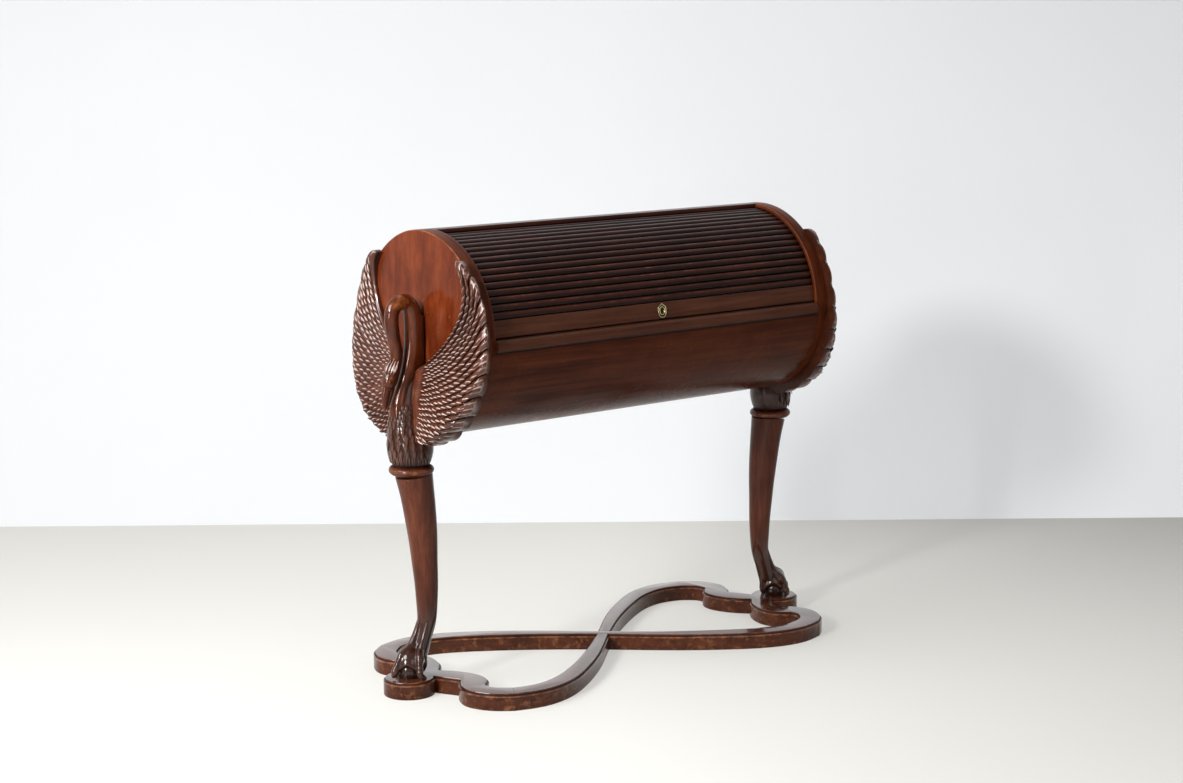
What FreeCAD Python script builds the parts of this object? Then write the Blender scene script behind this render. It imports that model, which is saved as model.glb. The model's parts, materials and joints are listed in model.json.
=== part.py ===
# Cylinder desk on two swan-carved legs and a looped base.
# Millimetres, +Z up. The drum lies along X, the tambour opens at the front, -Y.
# The origin is on the floor under the middle of the drum.
import FreeCAD
import Part
import math
import os

V = FreeCAD.Vector

# Driving sizes
drum_r = 220.0             # outside radius of the drum
drum_len = 988.0           # over the outer faces of the end panels
drum_z = 780.0             # height of the drum's axis
end_t = 22.0               # end panel
band_w = 10.0              # rim band, measured along the drum
stave_t = 15.5             # belly staves at their thinnest
stave_count = 12           # staves of the belly
back_count = 8             # staves of the back
veneer_t = 1.5             # veneer on the belly
back_veneer_t = 1.2        # veneer on the thin back
recess = 8.5               # depth of the tambour's face behind the drum's face
slat_t = 10.5              # tambour slats, crest to back
slat_round = 5.0           # how far a slat's edges lie behind its crest
slat_count = 18
slat_pitch = 4.61          # degrees
canvas_t = 0.8             # canvas under the slats
rail_low = 1.6             # lower edge of the lock rail, degrees above the axis
rail_high = 12.1           # upper edge of the lock rail, degrees
crown = 90.0               # the back starts at the top of the drum, degrees
top_rail_from = 86.0       # front edge of the fixed top rail, degrees
track_t = 12.4             # rails that carry the tambour's ends
slide_rise = 4.4           # writing slide's top above the drum's axis
slide_travel = 200.0
nosing_h = 26.8            # writing slide's front edge
nosing_deep = 44.0
nosing_out = 9.0           # how far it stands out of the drum
nosing_round = 5.0
board_t = 18.0             # writing slide's board
leather_t = 1.2
floor_t = 16.0             # floor board inside the drum
case_t = 8.0               # boards of the interior case
case_h = 100.0
case_deep = 127.6
case_back_t = 4.0
niche_x = 150.0            # half the width of the middle niche
shelf_t = 5.0
bolt_travel = 9.0          # depth of the lock bolt's mortise
base_t = 37.0              # looped base
lobe_y = 269.0             # half the depth of the base
pad_r = 56.5               # round pads under the legs
pad_out = 49.5             # middle of the pads, out from the end panel's face
leg_out = 33.0             # top of the legs, out from the end panel's face
collar_h = 20.0
collar_drop = 1.36         # collar's underside below the drum's axis, in drum radii

# Clearances
glide = 0.5                # sliding wood on wood
track_gap = 0.3            # tambour under its band
track_clear = 1.6          # tambour over its track
edge_gap = 0.6             # between slats, and under the slide
bolt_gap = 0.4             # lock bolt in its holes
end_gap = 1.0              # tambour and slide beside the drum's ends
case_gap = 0.9             # case beside the track

# Positions that follow from the sizes
face_x = drum_len / 2.0
inner_x = face_x - end_t
open_x = inner_x - band_w
tambour_r = drum_r - recess
slat_back = tambour_r - slat_t
track_in = slat_back - track_clear - track_t
slide_top = drum_z + slide_rise
slide_low = slide_top - nosing_h
floor_top = slide_low - edge_gap
leg_x = face_x + leg_out
pad_x = face_x + pad_out
collar_low = drum_z - collar_drop * drum_r
collar_top = collar_low + collar_h

parts = {}


# Shapes built in the drum's cross section

def drum_point(r, angle):
    """Y and Z at an angle in degrees, from the front up over the top."""
    a = math.radians(angle)
    return (-r * math.cos(a), drum_z + r * math.sin(a))


def section(points, x0, x1):
    """A polygon of (y, z) points, drawn out along X."""
    pts = [V(x0, y, z) for y, z in points]
    wire = Part.makePolygon(pts + pts[:1])
    return Part.Face(wire).extrude(V(x1 - x0, 0, 0))


def closed_face(edges):
    return Part.Face(Part.Wire(Part.__sortEdges__(edges)))


def arc(r, a0, a1, x):
    ends = [drum_point(r, a) for a in (a0, (a0 + a1) / 2.0, a1)]
    return Part.Arc(*[V(x, y, z) for y, z in ends]).toShape()


def line(p, q):
    return Part.makeLine(p, q)


def sector(r0, r1, a0, a1, x0, x1):
    """A curved strip between two radii."""
    outer = arc(r1, a0, a1, x0)
    inner = arc(r0, a0, a1, x0)
    side0 = line(V(x0, *drum_point(r0, a0)), V(x0, *drum_point(r1, a0)))
    side1 = line(V(x0, *drum_point(r0, a1)), V(x0, *drum_point(r1, a1)))
    return closed_face([outer, side1, inner, side0]).extrude(V(x1 - x0, 0, 0))


def stave(flat, r1, a0, a1, x0, x1):
    """A coopered stave, round outside and flat inside."""
    r0 = flat / math.cos(math.radians(a1 - a0) / 2.0)
    outer = arc(r1, a0, a1, x0)
    p0 = V(x0, *drum_point(r0, a0))
    p1 = V(x0, *drum_point(r0, a1))
    q0 = V(x0, *drum_point(r1, a0))
    q1 = V(x0, *drum_point(r1, a1))
    return closed_face([outer, line(q1, p1), line(p1, p0), line(p0, q0)]).extrude(V(x1 - x0, 0, 0))


def box(x0, x1, y0, y1, z0, z1):
    return Part.makeBox(x1 - x0, y1 - y0, z1 - z0, V(x0, y0, z0))


def drum(r, x0, x1):
    return Part.makeCylinder(r, x1 - x0, V(x0, 0, drum_z), V(1, 0, 0))


def mirror_x(shape):
    return shape.mirror(V(0, 0, 0), V(1, 0, 0))


def mirror_y(shape):
    return shape.mirror(V(0, 0, 0), V(0, 1, 0))


def both_ends(name, left):
    parts[name + "_left"] = left
    parts[name + "_right"] = mirror_x(left)


def loft(sections, axis):
    """A smooth solid through ellipses, each (centre, half width along axis, half depth, normal)."""
    wires = []
    for centre, rx, ry, normal in sections:
        if abs(rx - ry) < 1e-6:
            edge = Part.makeCircle(rx, centre, normal)
        else:
            across = normal.cross(axis)
            across.normalize()
            along = across.cross(normal)
            major = along if rx >= ry else across
            minor = across if rx >= ry else along
            tip = centre + major * max(rx, ry)
            edge = Part.Ellipse(tip, centre + minor * min(rx, ry), centre).toShape()
        wires.append(Part.Wire(edge))
    return Part.makeLoft(wires, True, False)


def tube(path, radii):
    """A round solid along a path, square to it at each point."""
    rings = []
    for i, r in enumerate(radii):
        ahead = path[min(i + 1, len(path) - 1)]
        behind = path[max(i - 1, 0)]
        rings.append((path[i], r, r, ahead.sub(behind).normalize()))
    return loft(rings, V(0, 1, 0))


def spline(points):
    curve = Part.BSplineCurve()
    curve.interpolate(points)
    return curve.toShape()


# Drum: end panels, bands, tracks

flat_belly = drum_r - veneer_t - stave_t
belly_top = -math.degrees(math.asin((drum_z - floor_top) / drum_r))
panel_left = drum(drum_r, -face_x, -inner_x)
both_ends("rim_band", sector(tambour_r + track_gap, drum_r, belly_top, 180.0, -inner_x, -open_x))
track_from = 0.5           # the track stops short of the belly at both ends, degrees
track_to = 180.0 - track_from
both_ends("track_rail", sector(track_in, track_in + track_t, track_from, track_to, -inner_x, -open_x))

# Belly: coopered staves under a veneer, cut level under the slide

step = (180.0 + belly_top) / stave_count
keep = box(-face_x, face_x, -drum_r, drum_r, drum_z - 2 * drum_r, floor_top)
keep_back = box(-face_x, face_x, 0, drum_r, floor_top, drum_z)
staves = []
for i in range(stave_count):
    a1 = belly_top - i * step
    staves.append(stave(flat_belly, drum_r - veneer_t, a1 - step, a1, -inner_x, inner_x))
staves[0] = staves[0].common(keep)
parts["belly_staves"] = Part.makeCompound(staves)
skin = sector(drum_r - veneer_t, drum_r, -180.0, belly_top, -inner_x, inner_x)
parts["belly_veneer"] = skin.common(keep.fuse(keep_back))

# Back: thin staves and veneer, with the top rail along the opening

flat_back = tambour_r + 2 * track_gap
back_step = (180.0 - crown) / back_count
back = []
for i in range(back_count):
    a0 = crown + i * back_step
    back.append(stave(flat_back, drum_r - back_veneer_t, a0, a0 + back_step, -open_x, open_x))
parts["back_staves"] = Part.makeCompound(back)
parts["back_veneer"] = sector(drum_r - back_veneer_t, drum_r, crown, 180.0, -open_x, open_x)
parts["top_rail"] = stave(flat_back, drum_r, top_rail_from, crown, -open_x, open_x)

# Interior case: floor, top, back, uprights and shelves, as far back as the track lets it go

case_low = slide_top + 2 * glide
case_high = case_low + case_h
case_back = math.sqrt(track_in ** 2 - (case_high - drum_z) ** 2) - case_back_t - case_gap
case_front = case_back - case_deep
case_end = inner_x - case_t
bay_low = case_low + case_t
bay_high = case_high - case_t
shelf_low = (bay_low + bay_high - shelf_t) / 2.0
parts["case_floor"] = box(-case_end, case_end, case_front, case_back, case_low, bay_low)
parts["case_top"] = box(-case_end, case_end, case_front, case_back, bay_high, case_high)
parts["case_back"] = box(-case_end, case_end, case_back, case_back + case_back_t, case_low, case_high)
end_board = box(-inner_x, -case_end, case_front, case_back, case_low, case_high)
divider = box(-niche_x - case_t, -niche_x, case_front, case_back, bay_low, bay_high)
boards = [end_board, divider, mirror_x(divider), mirror_x(end_board)]
parts["case_uprights"] = Part.makeCompound(boards)
shelf = box(-case_end, -niche_x - case_t, case_front, case_back, shelf_low, shelf_low + shelf_t)
parts["case_shelves"] = Part.makeCompound([shelf, mirror_x(shelf)])

# Drawers: five boards each and a turned knob

drawer_side = 6.0
drawer_floor = 4.0
drawer_inset = 1.0         # drawer front behind the case's edge
drawer_rear_gap = 2.0
side_drop = 2.0            # drawer sides below the front
rear_drop = 6.0            # drawer back below the front
knob_stem = (3.0, 7.0)     # radius, length
knob_rim = 7.5
knob_cap = 5.0
knob_half = 3.0            # each half of the knob's head


def turned_knob(at):
    out = V(0, -1, 0)
    stem_r, stem_len = knob_stem
    stem = Part.makeCylinder(stem_r, stem_len, at, out)
    swell = Part.makeCone(stem_r + 1.0, knob_rim, knob_half, at + out * stem_len, out)
    cap = Part.makeCone(knob_rim, knob_cap, knob_half, at + out * (stem_len + knob_half), out)
    return stem.fuse(swell).fuse(cap)


def drawer(x0, x1, z0, z1):
    x0 = x0 + glide
    x1 = x1 - glide
    z0 = z0 + glide
    z1 = z1 - glide
    y0 = case_front + drawer_inset
    y1 = case_back - drawer_rear_gap
    in0 = x0 + drawer_side
    in1 = x1 - drawer_side
    front_back = y0 + case_t
    front = box(x0, x1, y0, front_back, z0, z1)
    left = box(x0, in0, front_back, y1, z0, z1 - side_drop)
    right = box(in1, x1, front_back, y1, z0, z1 - side_drop)
    rear = box(in0, in1, y1 - drawer_side, y1, z0, z1 - rear_drop)
    bottom = box(in0, in1, front_back, y1 - drawer_side, z0, z0 + drawer_floor)
    knob = turned_knob(V((x0 + x1) / 2.0, y0, (z0 + z1) / 2.0))
    return Part.makeCompound([front, left, right, rear, bottom]), knob


bay_in = niche_x + case_t
for side, x0, x1 in (("left", -case_end, -bay_in), ("right", bay_in, case_end)):
    for level, z0, z1 in (("lower", bay_low, shelf_low), ("upper", shelf_low + shelf_t, bay_high)):
        tray, knob = drawer(x0, x1, z0, z1)
        parts["drawer_%s_%s" % (level, side)] = tray
        parts["drawer_%s_%s_knob" % (level, side)] = knob

# Floor board, runners and stop blocks inside the drum

inside_r = flat_belly / math.cos(math.radians(step) / 2.0)
inside = [drum_point(inside_r, belly_top - i * step) for i in range(stave_count + 1)]
floor = box(-inner_x, inner_x, -drum_r, drum_r, floor_top - floor_t, floor_top)
parts["floor_board"] = floor.common(section(inside, -inner_x, inner_x))

board_low = slide_top - board_t
board_x = open_x - end_gap
nose_front = -(drum_r + nosing_out)
nose_back = nose_front + nosing_deep
board_back = case_back - 4.4
runner_w = 32.0
runner_from = nose_back + 8.0
runner_top = board_low - glide
runner = box(-board_x, -board_x + runner_w, runner_from, board_back, floor_top, runner_top)
parts["slide_runners"] = Part.makeCompound([runner, mirror_x(runner)])
batten_x = 300.0
batten_w = 15.0
batten_y = board_back - 20.0
stop_deep = 25.0
stop_y = batten_y - slide_travel - 0.2
stop_x = (160.0, 240.0)
stop = box(-stop_x[1], -stop_x[0], stop_y - stop_deep, stop_y, floor_top, runner_top)
parts["stop_blocks"] = Part.makeCompound([stop, mirror_x(stop)])

# Tambour: slats on canvas, with the lock rail at the front

tambour_x = inner_x - end_gap
half_gap = math.degrees(edge_gap / 2.0 / tambour_r)
slats = []
corners = [rail_high + i * slat_pitch for i in range(slat_count + 1)]
vertex_r = slat_back / math.cos(math.radians(slat_pitch / 2.0))
for a in corners[:-1]:
    a0 = a + half_gap
    a1 = a + slat_pitch - half_gap
    back_r = slat_back / math.cos(math.radians((a1 - a0) / 2.0))
    p0 = V(-tambour_x, *drum_point(back_r, a0))
    p1 = V(-tambour_x, *drum_point(back_r, a1))
    q0 = V(-tambour_x, *drum_point(tambour_r - slat_round, a0))
    q1 = V(-tambour_x, *drum_point(tambour_r - slat_round, a1))
    crest = V(-tambour_x, *drum_point(tambour_r, (a0 + a1) / 2.0))
    edges = [Part.Arc(q0, crest, q1).toShape(), line(q1, p1), line(p1, p0), line(p0, q0)]
    slats.append(closed_face(edges).extrude(V(2 * tambour_x, 0, 0)))
parts["tambour_slats"] = Part.makeCompound(slats)

rail_mid = (rail_low + rail_high) / 2.0


def on_rail(tangent, radial):
    """Y and Z of a point in the lock rail's own square frame."""
    a = math.radians(rail_mid)
    y = -radial * math.cos(a) + tangent * math.sin(a)
    z = drum_z + radial * math.sin(a) + tangent * math.cos(a)
    return (y, z)


def rail_box(x0, x1, t0, t1, r0, r1):
    return section([on_rail(t0, r0), on_rail(t1, r0), on_rail(t1, r1), on_rail(t0, r1)], x0, x1)


def rail_cylinder(radius, t, r0, r1):
    y0, z0 = on_rail(t, r0)
    y1, z1 = on_rail(t, r1)
    return Part.makeCylinder(radius, r1 - r0, V(0, y0, z0), V(0, y1 - y0, z1 - z0))


rail_half = slat_back * math.tan(math.radians((rail_high - rail_low) / 2.0))
rail_face = tambour_r - 1.0
rail = rail_box(-tambour_x, tambour_x, -rail_half, rail_half - edge_gap / 2.0, slat_back, rail_face)

# Lock on the back of the rail, its bolt shooting down into the slide

lock_x = 32.0              # half the lock's width
lock_deep = 11.0
lock_wall = 1.5
lock_low = -rail_half + 1.5
lock_high = rail_half - 2.0
lock_in = slat_back - lock_deep
bolt_x = 7.0               # half the bolt's width
bolt_r0 = slat_back - 8.0
bolt_r1 = slat_back - 3.0
bolt_low = -rail_half + 1.0
bolt_len = 22.0
lock_out = rail_box(-lock_x, lock_x, lock_low, lock_high, lock_in, slat_back)
hollow_x = lock_x - lock_wall
hollow = rail_box(-hollow_x, hollow_x, lock_low + lock_wall, lock_high - lock_wall,
                  lock_in + lock_wall, slat_back - lock_wall)
bolt_hole = rail_box(-bolt_x - bolt_gap, bolt_x + bolt_gap, -rail_half - 30.0, -rail_half + 10.0,
                     bolt_r0 - bolt_gap, bolt_r1 + bolt_gap)
parts["lock_bolt"] = rail_box(-bolt_x, bolt_x, bolt_low, bolt_low + bolt_len, bolt_r0, bolt_r1)

# Oval escutcheon with a keyhole through it, the rail and the lock

plate_w = 13.0
plate_h = 16.5
plate_t = 2.2
key_r = 2.6
key_half = 1.4             # half the keyhole's slot
key_top = 2.5              # middle of the round part
key_low = -6.0
key_from = slat_back - 2.0
lock_key_r = 3.4
keyhole = rail_cylinder(key_r, key_top, key_from, drum_r)
keyhole = keyhole.fuse(rail_box(-key_half, key_half, key_low, key_top, key_from, drum_r))
oy, oz = on_rail(0.0, rail_face)
ay, az = on_rail(0.0, rail_face + plate_t)
uy, uz = on_rail(plate_h, rail_face)
oval = Part.Ellipse(V(0, uy, uz), V(plate_w, oy, oz), V(0, oy, oz)).toShape()
plate = Part.Face(Part.Wire(oval)).extrude(V(0, ay - oy, az - oz))
parts["escutcheon"] = plate.cut(keyhole)
parts["lock_rail"] = rail.cut(keyhole)
lock_key = rail_cylinder(lock_key_r, key_top, slat_back - lock_wall - 0.1, slat_back + 0.5)
parts["lock_case"] = lock_out.cut(hollow).cut(bolt_hole).cut(lock_key)

canvas_x = open_x - 12.0
canvas_out = [on_rail(0.0, slat_back)] + [drum_point(vertex_r, a) for a in corners]
canvas_in = [on_rail(0.0, slat_back - canvas_t)] + [drum_point(vertex_r - canvas_t, a) for a in corners]
canvas = section(canvas_out + canvas_in[::-1], -canvas_x, canvas_x)
lock_room = rail_box(-lock_x, lock_x, lock_low - bolt_len, lock_high, lock_in, drum_r)
parts["tambour_canvas"] = canvas.cut(lock_room)

# Writing slide: board, nosing, leather, strike plate and stop batten

strike_x = 20.0
strike_half = 9.0
strike_t = 1.2
leather_side = 45.0        # wood left beside the leather
leather_front = 18.0
leather_rear = 24.0
nosing = box(-board_x, board_x, nose_front, nose_back, slide_low, slide_top)
nosing_edge = [e for e in nosing.Edges if abs(e.BoundBox.YMax - nose_front) < 1e-6
               and abs(e.BoundBox.XLength - 2 * board_x) < 1e-6]
nosing = nosing.makeFillet(nosing_round, nosing_edge)
bolt_y, bolt_z = on_rail(0.0, (bolt_r0 + bolt_r1) / 2.0)
strike_y = bolt_y - math.tan(math.radians(rail_mid)) * (bolt_z - slide_top)
strike = box(-strike_x, strike_x, strike_y - strike_half, strike_y + strike_half,
             slide_top - strike_t, slide_top)
parts["strike_plate"] = strike.cut(bolt_hole)
mortise = bolt_hole.common(box(-strike_x, strike_x, -drum_r, 0.0, slide_top - bolt_travel, slide_top))
parts["slide_nosing"] = nosing.cut(strike).cut(mortise)
leather_x = board_x - leather_side
leather = box(-leather_x, leather_x, nose_back + leather_front, case_front - leather_rear,
              slide_top - leather_t, slide_top)
board = box(-board_x, board_x, nose_back, board_back, board_low, slide_top)
parts["slide_board"] = board.cut(leather)
parts["slide_leather"] = leather
parts["stop_batten"] = box(-batten_x, batten_x, batten_y, batten_y + batten_w, floor_top + glide, board_low)

# Swan ends, drawn for a drum of 220 mm radius and scaled to this one.
# Distances out are measured from the end panel's face, heights from the drum's axis.

drawn_r = 220.0
unit = drum_r / drawn_r


def swan_point(out, up, y=0.0):
    return V(-face_x - out * unit, y * unit, drum_z + up * unit)


# Breast: height, distance out, half width, half depth
breast_rows = [(-279.0, 33.0, 39.0, 39.0), (-270.0, 33.0, 43.0, 43.0), (-256.0, 33.0, 47.0, 47.0),
               (-240.0, 33.5, 49.0, 49.0), (-224.0, 35.0, 48.5, 47.0), (-207.0, 37.0, 46.0, 43.0),
               (-190.0, 38.5, 43.5, 38.5), (-172.0, 39.0, 41.0, 33.5), (-154.0, 39.0, 37.5, 29.0),
               (-135.0, 36.0, 32.0, 24.0), (-115.0, 32.0, 27.0, 20.0), (-95.0, 28.0, 22.0, 16.0)]
rows = []
for up, out, rx, ry in breast_rows:
    rows.append((swan_point(out, up), rx * unit, ry * unit, V(0, 0, 1)))
rows[0] = (V(-leg_x, 0, collar_top), rows[0][1], rows[0][2], V(0, 0, 1))
breast = loft(rows, V(1, 0, 0)).cut(drum(drum_r, -face_x, face_x))

# Neck, head and beak: distance out, height, radius
neck_rows = [(53.0, -140.0, 22.0), (50.0, -122.0, 20.0), (44.0, -100.0, 18.5), (36.0, -75.0, 18.0),
             (28.0, -47.0, 18.0), (23.0, -20.0, 18.5), (22.0, 10.0, 18.5), (22.5, 35.0, 18.0),
             (27.0, 57.0, 17.0), (36.0, 69.5, 16.0), (48.0, 73.0, 15.0), (60.0, 68.0, 15.0),
             (69.0, 54.0, 15.5), (72.0, 32.0, 16.0), (70.0, 5.0, 16.0), (67.0, -18.0, 15.5),
             (68.0, -38.0, 15.5), (72.5, -55.0, 17.0), (79.0, -72.0, 18.0), (85.0, -88.0, 16.0),
             (90.0, -104.0, 11.5), (94.0, -122.0, 9.0), (97.0, -138.0, 7.0), (99.0, -152.0, 3.5)]
neck_path = [swan_point(out, up) for out, up, r in neck_rows]
neck = tube(neck_path, [r * unit for out, up, r in neck_rows])

# Wings: a scalloped outline, given a thickness that grows towards the breast
wing_outer = [(152.0, 163.0), (174.0, 146.0), (194.0, 123.0), (224.0, 75.0), (239.0, 24.0),
              (241.0, -31.0), (236.0, -68.0), (219.0, -120.0), (193.0, -158.0), (158.0, -188.0),
              (110.0, -216.0), (52.0, -233.0)]
wing_inner = [(16.0, -150.0), (14.0, -100.0), (30.0, -66.0), (65.0, -38.0), (112.0, -12.0), (146.0, 32.0),
              (162.0, 86.0), (156.0, 130.0), (134.0, 162.0)]
scallops = 18
scallop_out = 4.0 * unit
blank_t = 80.0 * unit
edge_out = spline([swan_point(0, z, -y) for y, z in wing_outer])
edge_in = spline([swan_point(0, z, -y) for y, z in wing_inner])
marks = edge_out.discretize(Number=scallops + 1)
feather_tips = []
for p, q in zip(marks[:-1], marks[1:]):
    chord = q.sub(p)
    away = V(0, -chord.z, chord.y).normalize()
    feather_tips.append(Part.Arc(p, (p + q) * 0.5 - away * scallop_out, q).toShape())
wing_tip = line(edge_in.valueAt(edge_in.LastParameter), edge_out.valueAt(edge_out.FirstParameter))
wing_root = line(edge_out.valueAt(edge_out.LastParameter), edge_in.valueAt(edge_in.FirstParameter))
blank = closed_face(feather_tips + [wing_root, edge_in, wing_tip]).extrude(V(-blank_t, 0, 0))

# Face of the wing: distance out, height
relief = [(56.0, -260.0), (57.0, -220.0), (54.0, -180.0), (43.0, -120.0), (30.0, -60.0), (21.0, 0.0),
          (14.0, 60.0), (13.0, 100.0), (17.0, 140.0), (24.0, 180.0)]
relief_y = 300.0           # past the wing's edge, so that the shape covers it
low_out, low_up = relief[0]
high_out, high_up = relief[-1]
wing_face = spline([swan_point(out, up, relief_y) for out, up in relief])
low_edge = line(swan_point(0, low_up, relief_y), swan_point(low_out, low_up, relief_y))
high_edge = line(swan_point(high_out, high_up, relief_y), swan_point(0, high_up, relief_y))
flat_edge = line(swan_point(0, high_up, relief_y), swan_point(0, low_up, relief_y))
carved = closed_face([low_edge, wing_face, high_edge, flat_edge]).extrude(V(0, -2 * relief_y * unit, 0))
wing = blank.common(carved).cut(breast).cut(neck)

# Screws from inside the drum hold the wings, coach bolts hold the breast

screw_r = 2.0
screw_head = (4.0, 3.0)    # radius, thickness
screw_bite = 10.0
coach_r = 4.0
coach_head = (8.0, 5.0)    # radius, thickness
coach_bite = 30.0
screw_spots = ((110.0, -90.0), (165.0, -60.0))
coach_heights = (-188.0, -160.0)
screws = []
for y, up in screw_spots:
    for turn in (-1.0, 1.0):
        at = V(-inner_x, turn * y * unit, drum_z + up * unit)
        shank = Part.makeCylinder(screw_r, end_t + screw_bite, at, V(-1, 0, 0))
        screws.append(shank.fuse(Part.makeCylinder(*screw_head, at, V(-1, 0, 0))))
bolts = []
for up in coach_heights:
    at = V(-inner_x, 0, drum_z + up * unit)
    shank = Part.makeCylinder(coach_r, end_t + coach_bite, at, V(-1, 0, 0))
    bolts.append(shank.fuse(Part.makeCylinder(*coach_head, at, V(1, 0, 0))))
fixings = Part.makeCompound(screws + bolts)

# Leg with its tenons, ball and claws, and the collar ring it passes through

tenon_r = 16.0
tenon_h = 40.0
peg_r = 12.0
peg_h = 24.0
ball_r = 25.0
ball_lift = 0.88           # height of the ball's middle, in ball radii
collar_r = 43.0
bead_mid = 40.0            # middle of the collar's half-round bead
bead_r = 8.6

# Leg over the ankle: share of its height, shift from the leg's top towards the drum, radius
leg_rows = [(1.0, -6.0, 40.5), (0.866, -14.0, 37.0), (0.691, -22.0, 34.0), (0.544, -27.0, 31.0),
            (0.4, -30.0, 28.0), (0.256, -33.0, 25.5), (0.121, -33.5, 23.0)]

# Ankle, which keeps its place over the claws: height over the pad, shift, radius
ankle_rows = [(113.0, -31.0, 20.5), (84.0, -22.0, 19.2), (64.0, -15.0, 19.5), (44.0, -8.0, 20.0)]

# Claws: distance inwards from the pad's middle, distance sideways, height over the pad, radius
front_claw = [(30.0, 0.0, 66.0, 11.0), (8.0, 0.0, 60.0, 11.5), (-16.0, 0.0, 51.0, 12.0),
              (-31.0, 0.0, 33.0, 9.5), (-38.0, 0.0, 14.0, 7.5), (-40.0, 0.0, 5.0, 4.5)]
side_claw = [(28.0, 0.0, 64.0, 11.0), (18.0, 16.0, 57.0, 11.0), (8.0, 30.0, 46.0, 11.5),
             (2.0, 38.0, 30.0, 9.5), (-1.0, 42.0, 13.0, 7.5), (-2.0, 43.0, 5.0, 4.5)]
back_claw = [(34.0, 0.0, 62.0, 12.0), (38.0, 0.0, 42.0, 11.0), (37.0, 0.0, 22.0, 9.0), (34.0, 0.0, 6.0, 5.0)]
other_claw = [(x, -y, z, r) for x, y, z, r in side_claw]

ankle_h = ankle_rows[0][0]
leg_h = collar_low - base_t - ankle_h
heights = [(ankle_h + share * leg_h, shift, r) for share, shift, r in leg_rows]
rings = []
for height, shift, r in heights + ankle_rows:
    rings.append((V(-leg_x - shift, 0, base_t + height), r, r, V(0, 0, 1)))
leg = loft(rings, V(1, 0, 0))
over_base = box(-drum_len, 0, -drum_r, drum_r, base_t, drum_z)
ball = Part.makeSphere(ball_r, V(-pad_x, 0, base_t + ball_lift * ball_r))
leg = leg.fuse(ball.common(over_base))
for claw in (front_claw, side_claw, other_claw, back_claw):
    claw_path = [V(-pad_x + x, y, base_t + z) for x, y, z, r in claw]
    leg = leg.fuse(tube(claw_path, [r for x, y, z, r in claw]))
leg = leg.common(over_base)
leg = leg.fuse(Part.makeCylinder(tenon_r, collar_h + tenon_h, V(-leg_x, 0, collar_low)))
leg = leg.fuse(Part.makeCylinder(peg_r, peg_h, V(-pad_x, 0, base_t - peg_h)))
leg = leg.removeSplitter()
socket = Part.makeCylinder(tenon_r, tenon_h, V(-leg_x, 0, collar_top))
ring = Part.makeCylinder(collar_r, collar_h, V(-leg_x, 0, collar_low))
bead = Part.makeTorus(bead_mid, bead_r, V(-leg_x, 0, collar_low + collar_h / 2.0))
collar = ring.fuse(bead).cut(Part.makeCylinder(tenon_r, collar_h, V(-leg_x, 0, collar_low)))

breast = breast.cut(socket).cut(fixings)
both_ends("end_panel", panel_left.cut(fixings))
both_ends("swan_breast", breast)
both_ends("swan_neck", neck.cut(breast))
both_ends("wing_front", wing.cut(fixings))
both_ends("wing_back", mirror_y(wing).cut(fixings))
both_ends("leg", leg)
both_ends("leg_collar", collar)
parts["wing_screws"] = Part.makeCompound(screws + [mirror_x(s) for s in screws])
parts["leg_bolts"] = Part.makeCompound(bolts + [mirror_x(s) for s in bolts])

# Base: two crossing rails halved together, joined to the end pieces with dowels.
# One quarter is drawn, for pads at drawn_pad and a half depth of drawn_lobe.

drawn_pad = 543.5
drawn_lobe = 269.0
stretch_x = pad_x / drawn_pad
stretch_y = lobe_y / drawn_lobe
joint_out = (450.0, 253.0)
joint_in = (421.0, 206.0)
rail_out = [joint_out, (390.0, 269.0), (300.0, 254.0), (210.0, 203.0), (95.0, 112.0), (27.0, 48.0)]
rail_in = [(27.0, 2.0), (150.0, 104.0), (240.0, 166.0), (320.0, 207.0), (380.0, 216.0), joint_in]
lobe_out = [joint_out, (487.0, 222.0), (505.0, 190.0), (511.0, 160.0), (505.0, 133.0), (492.0, 108.0),
            (476.0, 88.0)]
lobe_in = [joint_in, (440.0, 190.0), (451.0, 172.0), (450.0, 155.0)]
lobe_bulge = [(450.0, 155.0), (430.0, 136.0), (416.0, 95.0), (422.0, 62.0), (440.0, 25.0), (461.0, 0.0)]
pad_angle = math.radians(138.0)   # where the lobe runs into the round pad


def flat(points, fx=1.0, fy=1.0):
    return [V(fx * stretch_x * x, fy * stretch_y * y, 0) for x, y in points]


edge_a = spline(flat(rail_out) + flat(rail_in, -1.0, -1.0))
edge_b = spline(flat(rail_out, -1.0, -1.0) + flat(rail_in))
cut_a = line(*flat([joint_out, joint_in]))
cut_b = line(*flat([joint_out, joint_in], -1.0, -1.0))
rail_a = closed_face([edge_a, cut_b, edge_b, cut_a]).extrude(V(0, 0, base_t))
rail_b = mirror_y(rail_a)
lap = rail_a.common(rail_b)
low_half = box(-drum_len, drum_len, -drum_len, drum_len, 0.0, base_t / 2.0)
rail_a = rail_a.cut(lap.cut(low_half))
rail_b = rail_b.cut(lap.common(low_half))

touch = V(pad_x + pad_r * math.cos(pad_angle), pad_r * math.sin(pad_angle), 0)
edges = [Part.Arc(touch, V(pad_x + pad_r, 0, 0), V(touch.x, -touch.y, 0)).toShape()]
for turn in (1.0, -1.0):
    edges.append(spline(flat(lobe_out, 1.0, turn)))
    edges.append(spline(flat(lobe_in, 1.0, turn)))
    edges.append(spline(flat(lobe_bulge, 1.0, turn)))
    edges.append(line(*flat([joint_out, joint_in], 1.0, turn)))
    edges.append(line(flat(lobe_out[-1:], 1.0, turn)[0], V(touch.x, turn * touch.y, 0)))
end_piece = closed_face(edges).extrude(V(0, 0, base_t))
end_piece = end_piece.cut(Part.makeCylinder(peg_r, peg_h, V(pad_x, 0, base_t - peg_h)))

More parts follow.
